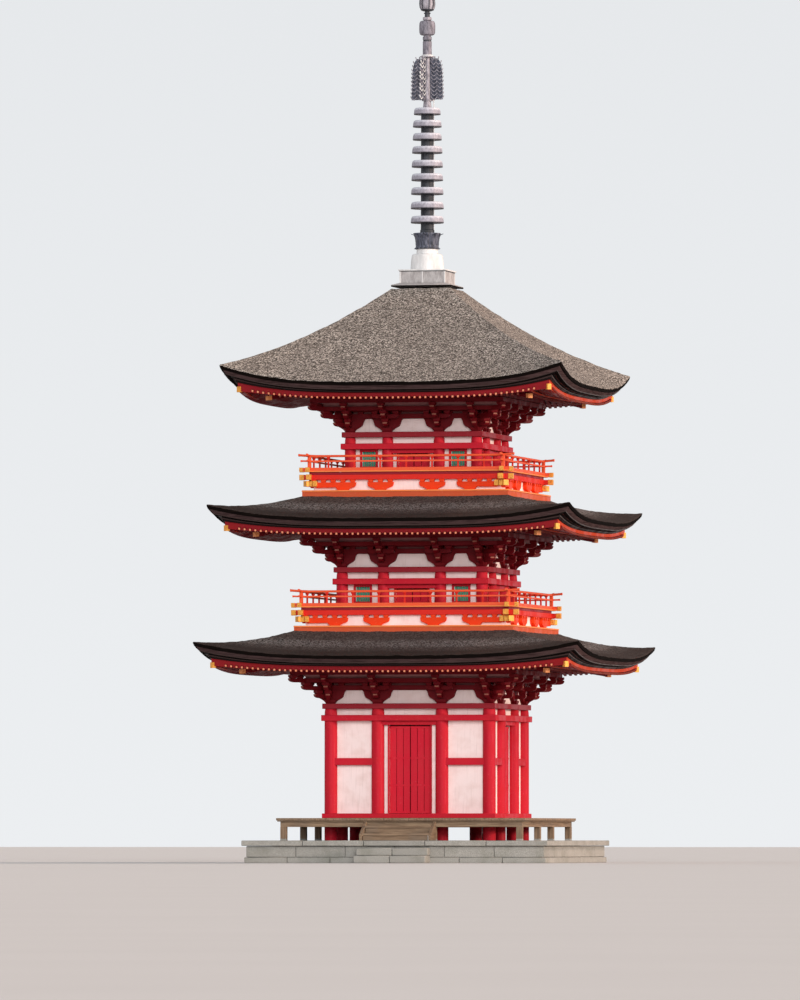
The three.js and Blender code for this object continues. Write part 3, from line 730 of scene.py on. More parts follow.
def eave_rings(piece, storey):
    """Fascia boards and the boards over the rafters, that run round all four sides."""
    top = storey.eave_top
    fascia, kioi = storey.eave - FASCIA_IN, storey.eave - KIOI_IN

    def ring(look, *profile):
        square_turned(piece, storey, profile, [look] * len(profile))

    def boards(bottom, outs, thick, lift):
        # The boards over the rafters are very dark red, painted deep shade.
        under = [(out, bottom(storey, out) + RAFTER_HEIGHT, lift) for out in outs]
        over = [(out, z + thick, lift) for out, z, lift in under]
        ring("dark_red", under[0], *over, *under[:0:-1])

    # A very dark board under the bark edge, painted shade beneath the overhang.
    ring(
        "black", (storey.eave - 0.150, top - 0.1425), (storey.eave - 0.220, top - 0.1430),
        (storey.eave - 0.230, top - 0.180, FASCIA_TOP_LIFT),
        (storey.eave - 0.400, top - 0.180, FASCIA_TOP_LIFT), (storey.eave - 0.400, top - 0.1425),
    )
    # A thin dark board with a painted highlight on its right side.
    ring(
        "bark_line", (storey.eave - 0.202, top - 0.151, 0.95), (storey.eave - 0.206, top - 0.163, 0.88),
        (storey.eave - 0.240, top - 0.163, 0.88), (storey.eave - 0.240, top - 0.151, 0.95),
    )
    # The fascia is dark red for the shade under the bark edge and bright on its right side: painted shade
    # and a painted highlight.
    ring(
        "fascia_red",
        (fascia + 0.004, top - 0.170, FASCIA_TOP_LIFT), (fascia, top - 0.252, FASCIA_LOW_LIFT),
        (fascia - 0.080, top - 0.252, FASCIA_LOW_LIFT), (fascia - 0.080, top - 0.170, FASCIA_TOP_LIFT),
    )
    boards(flying_bottom, (fascia - 0.02, kioi - 0.02), 0.015, FLYING_LIFT)
    kioi_low = base_bottom(storey, kioi - 0.04) + RAFTER_HEIGHT
    kioi_top = flying_bottom(storey, kioi)
    # The board under the flying rafters takes the same painted shade.
    ring(
        "fascia_red", (kioi + 0.02, kioi_low, BASE_LIFT), (kioi + 0.02, kioi_top, KIOI_LIFT),
        (kioi - 0.06, kioi_top + 0.01, KIOI_LIFT), (kioi - 0.06, kioi_low, BASE_LIFT),
    )
    # A very dark strip over the board, painted deep shade.
    ring(
        "dark_red",
        (kioi + 0.012, kioi_top - 0.002, KIOI_LIFT), (kioi + 0.012, kioi_top + 0.02, FLYING_LIFT),
        (kioi - 0.05, kioi_top + 0.03, FLYING_LIFT), (kioi - 0.05, kioi_top - 0.002, KIOI_LIFT),
    )
    boards(base_bottom, (kioi - 0.05, storey.corner + PURLIN_OUT, storey.corner - 0.10), 0.02, BASE_LIFT)


def eaves(storey):
    piece = Piece()
    rim, wall = storey.eave, storey.corner
    flying_tip, base_tip, kioi = rim - FLYING_TIP_IN, rim - BASE_TIP_IN, rim - KIOI_IN
    # The base rafters' ends take the ochre darkened for painted shade.
    rows = [
        (kioi - 0.10, flying_tip, CORNER_CLEAR, flying_bottom, FLYING_LIFT, "pale_ends"),
        (wall - 0.10, base_tip, 0.05, base_bottom, BASE_LIFT, "dull_ends"),
    ]
    count = int((flying_tip - 0.06) / RAFTER_PITCH)
    for i in range(-count, count + 1):
        x = i * RAFTER_PITCH
        for back, tip, clear, bottom, lift, end in rows:
            start = max(abs(x) + HIP_CLEAR, back)
            if start < tip - clear:
                rafter(piece, storey, x, start, tip, bottom, lift, end)
    hips = [
        (kioi - 0.15, rim - 0.262, flying_bottom, FLYING_LIFT, 0.052, 0.090, 0.066, "gold"),
        (wall, rim - 0.673, base_bottom, BASE_LIFT, 0.055, 0.070, 0.080, "dull_gold"),
    ]
    for hip in hips:
        hip_rafter(piece, storey, *hip)
    piece.four_sides()
    eave_rings(piece, storey)
    piece.make(f"rafters_{storey.number}", [f"eaves_{storey.number}"], 0.0025)


# Brackets: blocks and arms that step out from each column to carry the eave purlin

ARM_HALF = 0.0375
ARM_RISE = 0.045
ARM_END_FACE = 0.047
TIE_HALF = 0.036
SMALL_BLOCK = 0.052

# Over the head, for each step out: underside and top of the arm, and top of the blocks on it

LEVELS = [(0.090, 0.160, 0.225), (0.225, 0.298, 0.355), (0.355, 0.425, 0.482)]
WALL_ARM = [
    (0.080, 0.001), (0.094, 0.024), (0.122, 0.052), (0.168, 0.078), (0.204, 0.098), (0.222, 0.126),
    (0.234, 0.168), (0.248, 0.204), (0.268, 0.226),
]


def levels_over(head):
    return [[head + z for z in level] for level in LEVELS]


def masu(piece, x, out, low, top, half, place):
    """A bearing block with a swept foot."""
    waist = low + 0.42 * (top - low)
    levels = [(low, 0.70 * half), (low + 0.4 * (waist - low), 0.80 * half), (waist, half), (top, half)]
    # The block is darker red, painted shade under the eaves.
    piece.block("deep_red", x, out, levels, place)


def arm_outline(inner, reach, low, top, run):
    """A bracket arm from inner to reach whose lower end sweeps up."""
    points = [(inner, top), (inner, low)]
    for step in range(5):
        angle = step * math.pi / 8
        points.append((reach - run + run * math.sin(angle), low + ARM_RISE * (1 - math.cos(angle))))
    return points + [(reach, top)]


def mirrored(half):
    """A whole outline from its right half."""
    return [(-x, z) for x, z in reversed(half)] + half


def arm_out(piece, inner, end, low, top, run, cap, place):
    """An arm that steps out from the wall, with a paler face on its end."""
    x = (-ARM_HALF, ARM_HALF)
    # The arm is darker red, painted shade under the eaves.
    piece.across("deep_red", arm_outline(inner, end, low, top, run), x, place)
    # Its ochre end is darkened, painted shade under the eaves.
    piece.box("dull_ends", x, (end - 0.001, end + cap), (low + ARM_END_FACE, top), place)


def bracket_set(piece, storey, column):
    """What stands over one column of the front, in the wall plane and out from it."""
    head, corner = storey.head, storey.corner
    face, place = corner - WALL_FACE_IN, shifted(column)
    # Blocks and arms here are darker red, painted shade under the eaves.
    if column < corner:
        base = [(head, 0.074), (head + 0.012, 0.078), (head + 0.040, 0.092), (head + 0.066, 0.092)]
        piece.block("deep_red", 0, corner, base, place)
    for step, (low, top, block_top) in enumerate(levels_over(head), 1):
        out = corner + step * BRACKET_STEP
        arm_out(piece, face, out + 0.055, low, top, 0.09, 0.002, place)
        masu(piece, 0, out, top, block_top, 0.060, place)
    outline = mirrored([(x, head + z) for x, z in WALL_ARM])
    piece.outward("deep_red", outline, (face, corner + ARM_HALF + 0.012), place)
    if abs(column) < corner:
        low, top, block_top = levels_over(head)[1]
        out = corner + BRACKET_STEP
        outline = mirrored(arm_outline(0, 0.235, low, top, 0.10)[1:])
        piece.outward("deep_red", outline, about(out, TIE_HALF), place)
        for x in (-0.18, 0, 0.18):
            masu(piece, x, out, top, block_top, SMALL_BLOCK, place)
    for x in (-0.19, 0, 0.19):
        for _, top, block_top in levels_over(head)[1:]:
            masu(piece, x, corner, top, block_top, SMALL_BLOCK, place)


def corner_set(piece, storey):
    """Arms that run out along the diagonal at the right-hand corner of the front."""
    corner = storey.corner
    for step, (low, top, block_top) in enumerate(levels_over(storey.head), 1):
        out = corner + step * BRACKET_STEP
        arm_out(piece, corner, out + 0.05, low, top, 0.08, 0.003, along_diagonal)
        # The diagonal blocks are darker red, painted shade under the eaves.
        rings = []
        for z, h in [(top, 0.042), (top + 0.42 * (block_top - top), 0.060), (block_top, 0.060)]:
            r = h / math.sqrt(2)
            rings.append([(-h, out - r, z), (h, out - r, z), (h, out + r, z), (-h, out + r, z)])
        piece.loft(rings, "deep_red", place=along_diagonal)


def brackets(storey):
    piece = Piece()
    head, corner = storey.head, storey.corner
    for column in (-corner, -storey.inner, storey.inner, corner):
        bracket_set(piece, storey, column)
    corner_set(piece, storey)
    face, beam = corner - WALL_FACE_IN, corner + 0.042
    # The wall plaster between the brackets is darkened, painted shade under the eaves.
    piece.mitred("dusky_plaster", face, face + 0.004, (head + 0.290, head + 0.705))
    one, two, three = [corner + step * BRACKET_STEP for step in (1, 2, 3)]
    ties = [
        (face, beam, 0.225, 0.310),
        (face, beam, 0.342, 0.440),
        (face, beam, 0.488, 0.560),
        (face, beam, 0.700, 0.820),
        (*about(one, TIE_HALF), 0.355, 0.425),
        (*about(two, TIE_HALF), 0.355, 0.425),
        (*about(three, 0.040), 0.482, 0.560),
        (*about(three, 0.050), 0.570, 0.695),
    ]
    # The ties are darker red, painted shade under the eaves.
    for inner, outer, low, top in ties:
        piece.mitred("deep_red", inner, outer, (head + low, head + top))
    ceilings = [
        [(two - 0.02, 0.426), (two - 0.02, 0.436), (three - 0.045, 0.585), (three - 0.045, 0.560)],
        [(one - 0.02, 0.426), (one - 0.02, 0.438), (two + 0.02, 0.438), (two + 0.02, 0.426)],
        [(corner, 0.50), (corner, 0.512), (one, 0.438), (one, 0.426)],
    ]
    # The white boards are darkened, painted shade under the eaves.
    for outline in ceilings:
        piece.mitred_outline("white_board", [(out, head + z) for out, z in outline])
    piece.four_sides()
    piece.make(f"bracket_sets_{storey.number}", [f"brackets_{storey.number}"], 0.0025)


# Timber frame, doors and windows


def columns(piece, storey):
    top = storey.head - PLATE_HEIGHT + 0.002
    r, corner = storey.column, storey.corner
    for x in (-corner, -storey.inner, storey.inner):
        low = storey.foot if storey.number == 1 or x == -corner else storey.floor - GIRT_LOW
        profile = [
            (r, low), (r, low + 0.5 * (top - low)), (0.99 * r, top - 0.10), (0.95 * r, top - 0.035),
            (0.88 * r, top),
        ]
        piece.turned("vermilion", profile, x, corner, 40)


def timber_frame(storey):
    piece = Piece()
    corner, inner, head, floor = storey.corner, storey.inner, storey.head, storey.floor
    face = corner - WALL_FACE_IN + 0.001
    columns(piece, storey)
    # The wall plate is darker red, painted shade under the brackets.
    piece.mitred("plate_red", face, corner + PLATE_OUT, (head - PLATE_HEIGHT, head))
    piece.mitred("vermilion", face, corner + NAGESHI_OUT, (head - TIE_LOW, head - TIE_HIGH))
    piece.mitred("vermilion", face, corner + NAGESHI_OUT - 0.01, (floor + 0.001, floor + SILL_RAIL))
    piece.mitred("vermilion", corner - 0.25, corner + 0.06, (floor - GIRT_LOW, floor - GIRT_HIGH))
    lintel = (head - LINTEL_LOW, head - TIE_LOW + 0.001)
    piece.box("vermilion", (-inner, inner), (face, corner + 0.062), lintel)
    for sign in (-1, 1):
        jamb = span(sign, storey.door - 0.004, storey.door + 0.020)
        piece.box("vermilion", jamb, (face, corner + 0.03), (floor + SILL_RAIL, head - LINTEL_LOW))
    if storey.number == 1:
        for sign in (-1, 1):
            bay = span(sign, inner, corner)
            piece.box("vermilion", bay, (face, corner + 0.075), (floor + 0.90, floor + 1.02))
    else:
        below = STOREYS[storey.number - 2]
        piece.mitred("vermilion", corner - 0.11, below.corner - 0.001, (storey.foot, storey.foot + 0.14))
        windows(piece, storey)
    piece.four_sides()
    replaced = [f"timber_frame_{storey.number}", f"head_ties_{storey.number}"]
    piece.make(f"posts_and_ties_{storey.number}", replaced, 0.004)


def windows(piece, storey):
    """Green upright bars in a red frame, in both outer bays, with a pale panel behind them."""
    middle, half = (storey.corner + storey.inner) / 2, storey.window + 0.008
    low, high = storey.head - WINDOW_LOW, storey.head - WINDOW_HIGH
    face = storey.corner - WALL_FACE_IN
    bars = 6
    r, line = 0.57 * half / bars, face + 0.010
    for at in (-middle, middle):
        opening = about(at, half)
        for x, aside in zip(opening, (-0.036, 0.036)):
            post = (face - 0.02, face + 0.035)
            piece.box("vermilion", sorted([x, x + aside]), post, (low - WINDOW_FRAME, high + WINDOW_FRAME))
        for z in ((low - WINDOW_FRAME, low), (high, high + WINDOW_FRAME)):
            piece.box("vermilion", opening, (face - 0.02, face + 0.034), z)
        for i in range(bars):
            x = at + half * (2 * (i + 0.5) / bars - 1)
            bar = [(x - r, line), (x, line + r), (x + r, line), (x, line - r)]
            piece.upright("green", bar, (low, high))
        piece.box("window_panel", opening, (face - 0.055, face - 0.045), (low, high))


def doors(storey, side):
    """Two leaves of upright boards between rails, with a shadow gap under the lintel."""
    piece = Piece()
    low, high = storey.floor + SILL_RAIL, storey.head - LINTEL_LOW
    face = storey.corner - WALL_FACE_IN - 0.012
    back = face - DOOR_THICKNESS
    boards = 2 if storey.number > 1 else 3
    rails = [low + 0.004, high - 0.058]
    if storey.number == 1:
        rails += [low + 0.46, low + 0.92]
    for sign in (-1, 1):
        leaf = span(sign, 0.004, storey.door - 0.003)
        width = leaf[1] - leaf[0]
        for i in range(boards):
            x = (leaf[0] + width * i / boards + 0.004, leaf[0] + width * (i + 1) / boards - 0.004)
            piece.box("door_red", x, (back, face - 0.004), (low + 0.004, high - 0.018))
        # A very dark panel behind the boards: painted shade in the gaps between them and under the lintel.
        piece.box("dark_red", leaf, (back - 0.004, back + 0.006), (low + 0.004, high - 0.004))
        for z in rails:
            piece.box("door_red", leaf, (back + 0.004, face), (z, z + DOOR_RAIL))
    piece.points = [points @ quarter_turn(side) for points in piece.points]
    place = f"{storey.number}_{SIDE_NAMES[side]}"
    piece.make(f"door_leaves_{place}", [f"door_{place}"], 0.002)


def floor_boards(piece, start, edge, count, gap, levels):
    """Boards laid outward from start to edge along the front, cut at 45 degrees at the corners."""
    marks = np.linspace(-edge, edge, count + 1)
    for left, right in zip(marks[:-1] + gap, marks[1:] - gap):
        turns = [x for x in (start, -start) if left < x < right]
        inner = [(x, max(abs(x), start)) for x in (right, *turns, left)]
        piece.upright("boards", [(left, edge), (right, edge)] + inner, levels)


# Balconies and railings of the upper storeys

SILL_OUT = 0.685
BEAM_OUT = 0.600
BEAM_REACH = 0.755
SKIRT_FACE_OUT = 0.520
RAIL_OUT = 0.580
ARM_OUTLINE = [
    (0.0, 0.0), (0.082, 0.0), (0.104, 0.022), (0.150, 0.044), (0.196, 0.058), (0.216, 0.078),
    (0.223, 0.106), (0.225, 0.137),
]
ARM_KNEE = 0.12
ARM_FOOT = 0.310
ARM_REACH = 0.225
LONG_ARM_REACH = 0.53
ARM_BLOCKS = (-0.17, 0, 0.17)
BALCONY_BLOCK = [(0.136, 0.032), (0.158, 0.040), (0.182, 0.048)]
GILT_LENGTH = 0.085
END_LIFT_RUN = 0.42
POST_PITCH = 0.45
BOARD_WIDTH = 0.125

# Each rail: look, past the post line, over the floor, half (out, up), rise of its ends, then
# length of its caps, corners of its section and look of its caps

RAILS = [
    ("rail_orange", 0.170, 0.050, (0.032, 0.026), 0.000, 0.06, 4, "gold"),
    ("pale_orange", 0.165, 0.013, (0.037, 0.011), 0.000, 0.06, 4, "gold"),
    ("rail_orange", 0.150, 0.186, (0.015, 0.014), 0.006, 0.02, 4, "rail_orange"),
    ("rail_orange", 0.190, 0.272, (0.020, 0.020), 0.020, 0.02, 12, "rail_orange"),
]


def arm_half(sill, reach):
    """The right half of a balcony arm. A long one runs level out to its rounded end."""
    more = reach - ARM_OUTLINE[-1][0]
    near = [(x, sill + z) for x, z in ARM_OUTLINE if x < ARM_KNEE]
    far = [(x + more, sill + z) for x, z in ARM_OUTLINE if x > ARM_KNEE]
    knee = [(0.125, sill + 0.050)] if more > 0.1 else []
    return near + knee + far


def balcony_arm(piece, column, storey, reaches, blocks):
    """A low bracket under the balcony edge, whose two ends sweep up to small bearing blocks."""
    sill = storey.floor - ARM_FOOT
    back, front = storey.corner + SKIRT_FACE_OUT, storey.corner + BEAM_OUT - 0.012
    place = shifted(column)
    left, right = [arm_half(sill, reach) for reach in reaches]
    piece.outward("orange", [(-x, z) for x, z in left[:0:-1]] + right[1:], (back, front), place)
    for x in blocks:
        rings = []
        for up, h in BALCONY_BLOCK:
            plan = [(x - h, back), (x + h, back), (x + h, front + 0.006), (x - h, front + 0.006)]
            rings.append([(*corner, sill + up) for corner in plan])
        piece.loft(rings, "orange", place=place)


def beam_ends(piece, storey):
    """Ends of the edge beams that cross at the corners, and the stubs under them, in gilt caps."""
    corner, floor = storey.corner, storey.floor
    edge, reach = corner + BEAM_OUT, corner + BEAM_REACH
    low, high = floor - 0.130, floor - 0.045
    for sign in (-1, 1):
        run = span(sign, edge - 0.01, reach - GILT_LENGTH)
        piece.box("beam_red", run, (corner + 0.525, edge), (low, high))
        cap = span(sign, reach - GILT_LENGTH, reach)
        piece.box("gold", cap, (corner + 0.521, edge + 0.004), (low - 0.004, high + 0.004))
        for at in (0.475, 0.555):
            x = sign * (corner + at)
            stub = (floor - 0.240, floor - 0.150)
            piece.box("beam_red", about(x, 0.033), (corner + 0.45, edge), stub)
            stub = (floor - 0.245, floor - 0.148)
            piece.box("gold", about(x, 0.036), (corner + 0.59, corner + 0.65), stub)
    stub = (floor - 0.245, floor - 0.150)
    piece.box("beam_red", (-0.045, 0.045), (corner + 0.50, corner + 0.61), stub, along_diagonal)
    piece.box("gold", (-0.050, 0.050), (edge, corner + 0.645), stub, along_diagonal)


def balcony(storey):
    piece = Piece()
    corner, inner, floor = storey.corner, storey.inner, storey.floor
    start = STOREYS[storey.number - 2].roof_inner + 0.012
    piece.mitred("sill_orange", start, corner + SILL_OUT, (floor - 0.440, floor - 0.336))
    piece.mitred("pale_orange", start, corner + SILL_OUT + 0.006, (floor - 0.335, floor - 0.309))
    for column in (-inner, inner):
        balcony_arm(piece, column, storey, (ARM_REACH, ARM_REACH), ARM_BLOCKS)
    balcony_arm(piece, -corner, storey, (LONG_ARM_REACH, ARM_REACH), (-0.51, -0.34) + ARM_BLOCKS)
    balcony_arm(piece, corner, storey, (ARM_REACH, LONG_ARM_REACH), ARM_BLOCKS + (0.34, 0.51))
    piece.mitred("beam_red", corner + 0.42, corner + BEAM_OUT, (floor - 0.130, floor - 0.045))
    edge, walk = corner + 0.562, (floor - 0.044, floor - 0.001)
    floor_boards(piece, corner + storey.column + 0.002, edge, int(2 * edge / BOARD_WIDTH), 0.002, walk)
    # A dark red strip over the board ends, painted shade under the rails.
    piece.mitred("plate_red", edge + 0.001, edge + 0.022, (floor - 0.044, floor - 0.0005))
    beam_ends(piece, storey)
    piece.four_sides()
    piece.make(f"balcony_boards_{storey.number}", [f"balcony_{storey.number}"], 0.003)


def end_lift(x, reach, curve):
    """How far a rail that ends at reach has curved up at x."""
    return curve * max(0.0, (abs(x) - reach + END_LIFT_RUN) / END_LIFT_RUN) ** 2


def rail(piece, look, out, reach, z, half, curve, cap, corners, cap_look):
    """A rail along the front whose ends curve up and carry caps. half is (out, up)."""
    square = corners == 4
    swell = math.sqrt(2) if square else 1.0
    angles = np.linspace(0, 2 * math.pi, corners, endpoint=False) + (math.pi / 4 if square else 0)

    def section(x, grow):
        middle = z + end_lift(x, reach, curve)
        wide, high = (half[0] + grow) * swell, (half[1] + grow) * swell
        return [(x, out + wide * math.cos(a), middle + high * math.sin(a)) for a in angles]

    piece.loft([section(t * reach, 0) for t in np.linspace(-1, 1, 25)], look, smooth=not square)
    for sign in (-1, 1):
        ends = [sign * (reach - cap), sign * (reach + 0.004)]
        piece.loft([section(x, 0.003) for x in ends], cap_look, smooth=not square)


def railing(storey):
    piece = Piece()
    floor, line = storey.floor, storey.corner + RAIL_OUT
    for look, past, up, *section in RAILS:
        rail(piece, look, line, line + past, floor + up, *section)
    posts = int((line - 0.1) / POST_PITCH)
    for i in range(-posts, posts + 1):
        x = POST_PITCH * i
        post = (floor + 0.070, floor + 0.172)
        piece.box("beam_red", about(x, 0.015), about(line, 0.014), post)
        levels = [(0.200, 0.014), (0.222, 0.014), (0.236, 0.026), (0.256, 0.026)]
        piece.block("beam_red", x, line, [(floor + z, half) for z, half in levels])
    corner_post = about(line, 0.028)
    piece.box("rail_orange", corner_post, corner_post, (floor + 0.070, floor + 0.262))
    piece.four_sides()
    piece.make(f"rails_{storey.number}", [f"railing_{storey.number}"], 0.003)


# Ground works

PLATFORM_HALF = 2.600
PLATFORM_TOP = 0.380
COPING_OUT = 0.040
VERANDA_HALF = 2.150
STEP_HALF_WIDTH = 0.620
STONE_JOINT = 0.004


def stone_row(piece, half, depth, low, high, count):
    """A row of dressed stones along the front, with open joints and mitred ends."""
    edges = np.linspace(-half, half, count + 1)
    for i in range(count):
        first, last = i == 0, i == count - 1
        left = edges[i] + (0 if first else STONE_JOINT)
        right = edges[i + 1] - (0 if last else STONE_JOINT)
        inner_left, inner_right = left + first * depth, right - last * depth
        plan = [(left, half), (right, half), (inner_right, half - depth), (inner_left, half - depth)]
        piece.upright("stone", plan, (low, high))


def platform():
    piece = Piece()
    base = PLATFORM_HALF
    stone_row(piece, base, 0.30, 0.0, 0.095, 7)
    stone_row(piece, base - 0.03, 0.27, 0.099, PLATFORM_TOP - 0.094, 6)
    stone_row(piece, base + COPING_OUT, 0.42, PLATFORM_TOP - 0.090, PLATFORM_TOP, 5)
    piece.four_sides()
    inner = base + COPING_OUT - 0.424
    marks = np.linspace(-inner, inner, 7)
    slabs = list(zip(marks[:-1] + 0.003, marks[1:] - 0.003))
    for x in slabs:
        for out in slabs:
            piece.box("stone", x, out, (PLATFORM_TOP - 0.12, PLATFORM_TOP - 0.002))
    core = (0.05 - base, base - 0.05)
    piece.box("stone", core, core, (0.001, PLATFORM_TOP - 0.10))
    piece.make("platform_stones", ["stone_platform"], 0.008)


def stone_steps():
    piece = Piece()
    low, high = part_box("stone_steps")
    start, end = -high.y, -low.y
    run, rise = (end - start) / 2, PLATFORM_TOP / 3
    for step in (1, 2):
        top = PLATFORM_TOP - step * rise
        for left in (-STEP_HALF_WIDTH, 0):
            x = (left + 0.003, left + STEP_HALF_WIDTH - 0.003)
            piece.box("stone", x, (start + 0.001, start + step * run), (top - rise + 0.002, top))
    piece.make("step_stones", ["stone_steps"], 0.010)


def timber_steps(storey):
    """Treads between two side strings, up to the veranda."""
    piece = Piece()
    low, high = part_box("timber_steps")
    start, end = -high.y, -low.y
    run, rise = (end - start) / 2, (storey.floor - PLATFORM_TOP) / 3
    foot, half = PLATFORM_TOP + 0.001, STEP_HALF_WIDTH
    for step in (1, 2):
        top = storey.floor - step * rise
        front = start + step * run
        under = top - 0.045
        piece.box("boards", (0.05 - half, half - 0.05), (front - run + 0.004, front), (under, top))
        riser = (max(foot, top - rise), under)
        piece.box("boards", (0.06 - half, half - 0.06), (front - 0.04, front - 0.015), riser)
    crest = storey.floor - 0.06
    string = [
        (start + 0.002, foot), (start + 0.002, crest), (start + 0.03, crest),
        (end, storey.floor - 2 * rise - 0.02), (end, foot),
    ]
    for x in (-half, half - 0.05):
        piece.across("boards", string, (x, x + 0.05))
    piece.make("timber_treads", ["timber_steps"], 0.004)


def veranda(storey):
    piece = Piece()
    floor, edge = storey.floor, VERANDA_HALF
    start = storey.corner + storey.column + 0.002
    floor_boards(piece, start, edge, 30, 0.0015, (floor - 0.040, floor))
    piece.mitred("boards", edge - 0.10, edge - 0.015, (floor - 0.060, floor - 0.041))
    beam = edge - 0.110
    piece.mitred("boards", beam - 0.050, beam + 0.050, (floor - 0.150, floor - 0.060))
    for x in (-beam, -storey.inner, storey.inner):
        post = (PLATFORM_TOP + 0.030, floor - 0.149)
        piece.box("boards", about(x, 0.052), about(beam, 0.052), post)
        piece.block("stone", x, beam, [(PLATFORM_TOP + 0.001, 0.054), (PLATFORM_TOP + 0.032, 0.050)])
    piece.four_sides()
    piece.make("veranda_boards", ["veranda"], 0.003)


# Finial

CROWN_TOP = 9.830
BOX_TOP = 10.130
BOWL_TOP = 10.490
LOTUS_TOP = 10.770
SHAFT_TOP = 13.035
FLAME_TOP = 13.800
BALL_TOP = 14.420
TIP = 15.000
RINGS = [
    (10.983, 0.284), (11.227, 0.284), (11.474, 0.278), (11.710, 0.272), (11.940, 0.268),
    (12.180, 0.261), (12.405, 0.250), (12.627, 0.247), (12.841, 0.230),
]
RING_HALF = 0.058
RING_RAISE = 0.015
RING_SIDES = 64
SPOKE_HALF = 0.02
ROD_RADIUS = 0.008
PETAL_THICK = 0.014
FLAME_TURN = math.radians(12)
FLAME_ROOT = 0.072
FLAME_TIP = 0.016
ROD_OUT = 0.113
ROD_TURN = math.radians(-20)


def finial_box():
    """A square dew basin on a sloping metal sheet over the crown."""
    piece = Piece()
    low, high = 9.900, BOX_TOP - 0.022
    body, plate, sheet = 0.396, 0.418, 0.520
    flashing = [
        (0.05, CROWN_TOP + 0.001), (sheet - 0.010, CROWN_TOP + 0.001), (sheet, 9.854), (sheet, 9.864),
        (body + 0.004, low), (0.05, low),
    ]
    piece.mitred_outline("grey_metal", flashing)
    # A very dark strip under the sheet's edge, painted shade.
    piece.mitred("bark_lip", sheet - 0.012, sheet + 0.001, (CROWN_TOP + 0.002, 9.856))
    piece.mitred("pale_panel", 0.05, body, (low, high - 0.012))
    piece.mitred("mast_metal", 0.05, body + 0.006, (high - 0.012, high))
    piece.mitred("white_metal", 0.05, plate, (high, BOX_TOP))
    piece.box("white_metal", (-0.008, 0.008), (body - 0.03, body + 0.004), (low, high - 0.012))
    corner_strip = (body - 0.020, body + 0.004)
    piece.box("white_metal", corner_strip, corner_strip, (low, high - 0.012))
    piece.four_sides()
    piece.make("dew_basin", ["finial_box"], 0.002)


def finial_bowl():
    piece = Piece()
    low = BOX_TOP + 0.001
    profile = [
        (0.02, low), (0.280, low), (0.286, low + 0.012), (0.283, 10.200), (0.279, 10.260),
        (0.273, 10.320), (0.266, 10.365), (0.258, 10.390), (0.246, 10.404), (0.228, 10.411),
        (0.188, 10.413), (0.184, 10.418), (0.184, 10.462), (0.178, 10.468), (0.178, 10.478),
        (0.190, 10.482), (0.190, BOWL_TOP - 0.001), (0.02, BOWL_TOP - 0.001),
    ]
    piece.turned("white_metal", profile, sides=64)
    piece.make("inverted_bowl", ["finial_bowl"])


def petal(piece, angle, base, tip, width, curl):
    """An upright lotus petal that leans out and curls over at its tip.

    base and tip are (radius, height).
    """
    rows, cols = 7, 6
    front = []
    for i in range(rows):
        t = i / (rows - 1)
        radius = base[0] + (tip[0] - base[0]) * t ** 2.2
        z = base[1] + (tip[1] - base[1]) * math.sin(t * math.pi / 2)
        half = width * (0.55 + 0.45 * math.sin(math.pi * min(1, 0.25 + 0.9 * t)))
        if t > 0.99:
            half *= 0.35
        for j in range(cols):
            u = 2 * j / (cols - 1) - 1
            bulge = PETAL_THICK * (1 - u * u)
            front.append((radius + bulge + curl * t ** 4, u * half, z - 0.012 * abs(u) ** 3 * t))
    back = [(r - PETAL_THICK, lateral, z) for r, lateral, z in front]
    n = rows * cols
    grid = np.arange(n).reshape(rows, cols)
    faces = []
    for a in grid[:-1, :-1].ravel().tolist():
        faces.append((a, a + 1, a + cols + 1, a + cols))
        faces.append((n + a, n + a + cols, n + a + cols + 1, n + a + 1))
    rim = np.concatenate([grid[0], grid[1:, -1], grid[-1, -2::-1], grid[-2:0:-1, 0]]).tolist()
    faces += [(a, n + a, n + b, b) for a, b in zip(rim, rim[1:] + rim[:1])]
    piece.add(front + back, faces, ["slate_bronze"] * len(faces), True, around(angle))


def finial_lotus():
    """A wide fluted cup with lotus petals that curl out from it."""
    piece = Piece()
    low, high = BOWL_TOP + 0.001, LOTUS_TOP - 0.001
    foot = [
        (0.02, low), (0.180, low), (0.200, low + 0.012), (0.200, low + 0.026), (0.176, low + 0.036),
        (0.02, low + 0.040),
    ]
    piece.turned("mast_metal", foot)
    cup = [
        (0.168, low + 0.030), (0.184, 10.560), (0.196, 10.650), (0.212, 10.720), (0.226, high - 0.015),
        (0.222, high), (0.190, high), (0.180, high - 0.03), (0.02, high - 0.03),
    ]
    angles = np.linspace(0, 2 * math.pi, 128, endpoint=False)
    rings = []
    for radius, z in cup:
        flutes = radius * (1 + 0.030 * np.cos(24 * angles))
        rings.append([(r * math.cos(a), r * math.sin(a), z) for r, a in zip(flutes, angles)])
    piece.loft(rings, "slate_bronze", smooth=True)
    for i in range(8):
        petal(piece, i * math.pi / 4, (0.190, 10.560), (0.262, 10.758), 0.050, 0.012)
    for i in range(16):
        petal(piece, (i + 0.5) * math.pi / 8, (0.182, low + 0.075), (0.212, low + 0.014), 0.036, 0.004)
    piece.make("lotus", ["finial_lotus"])


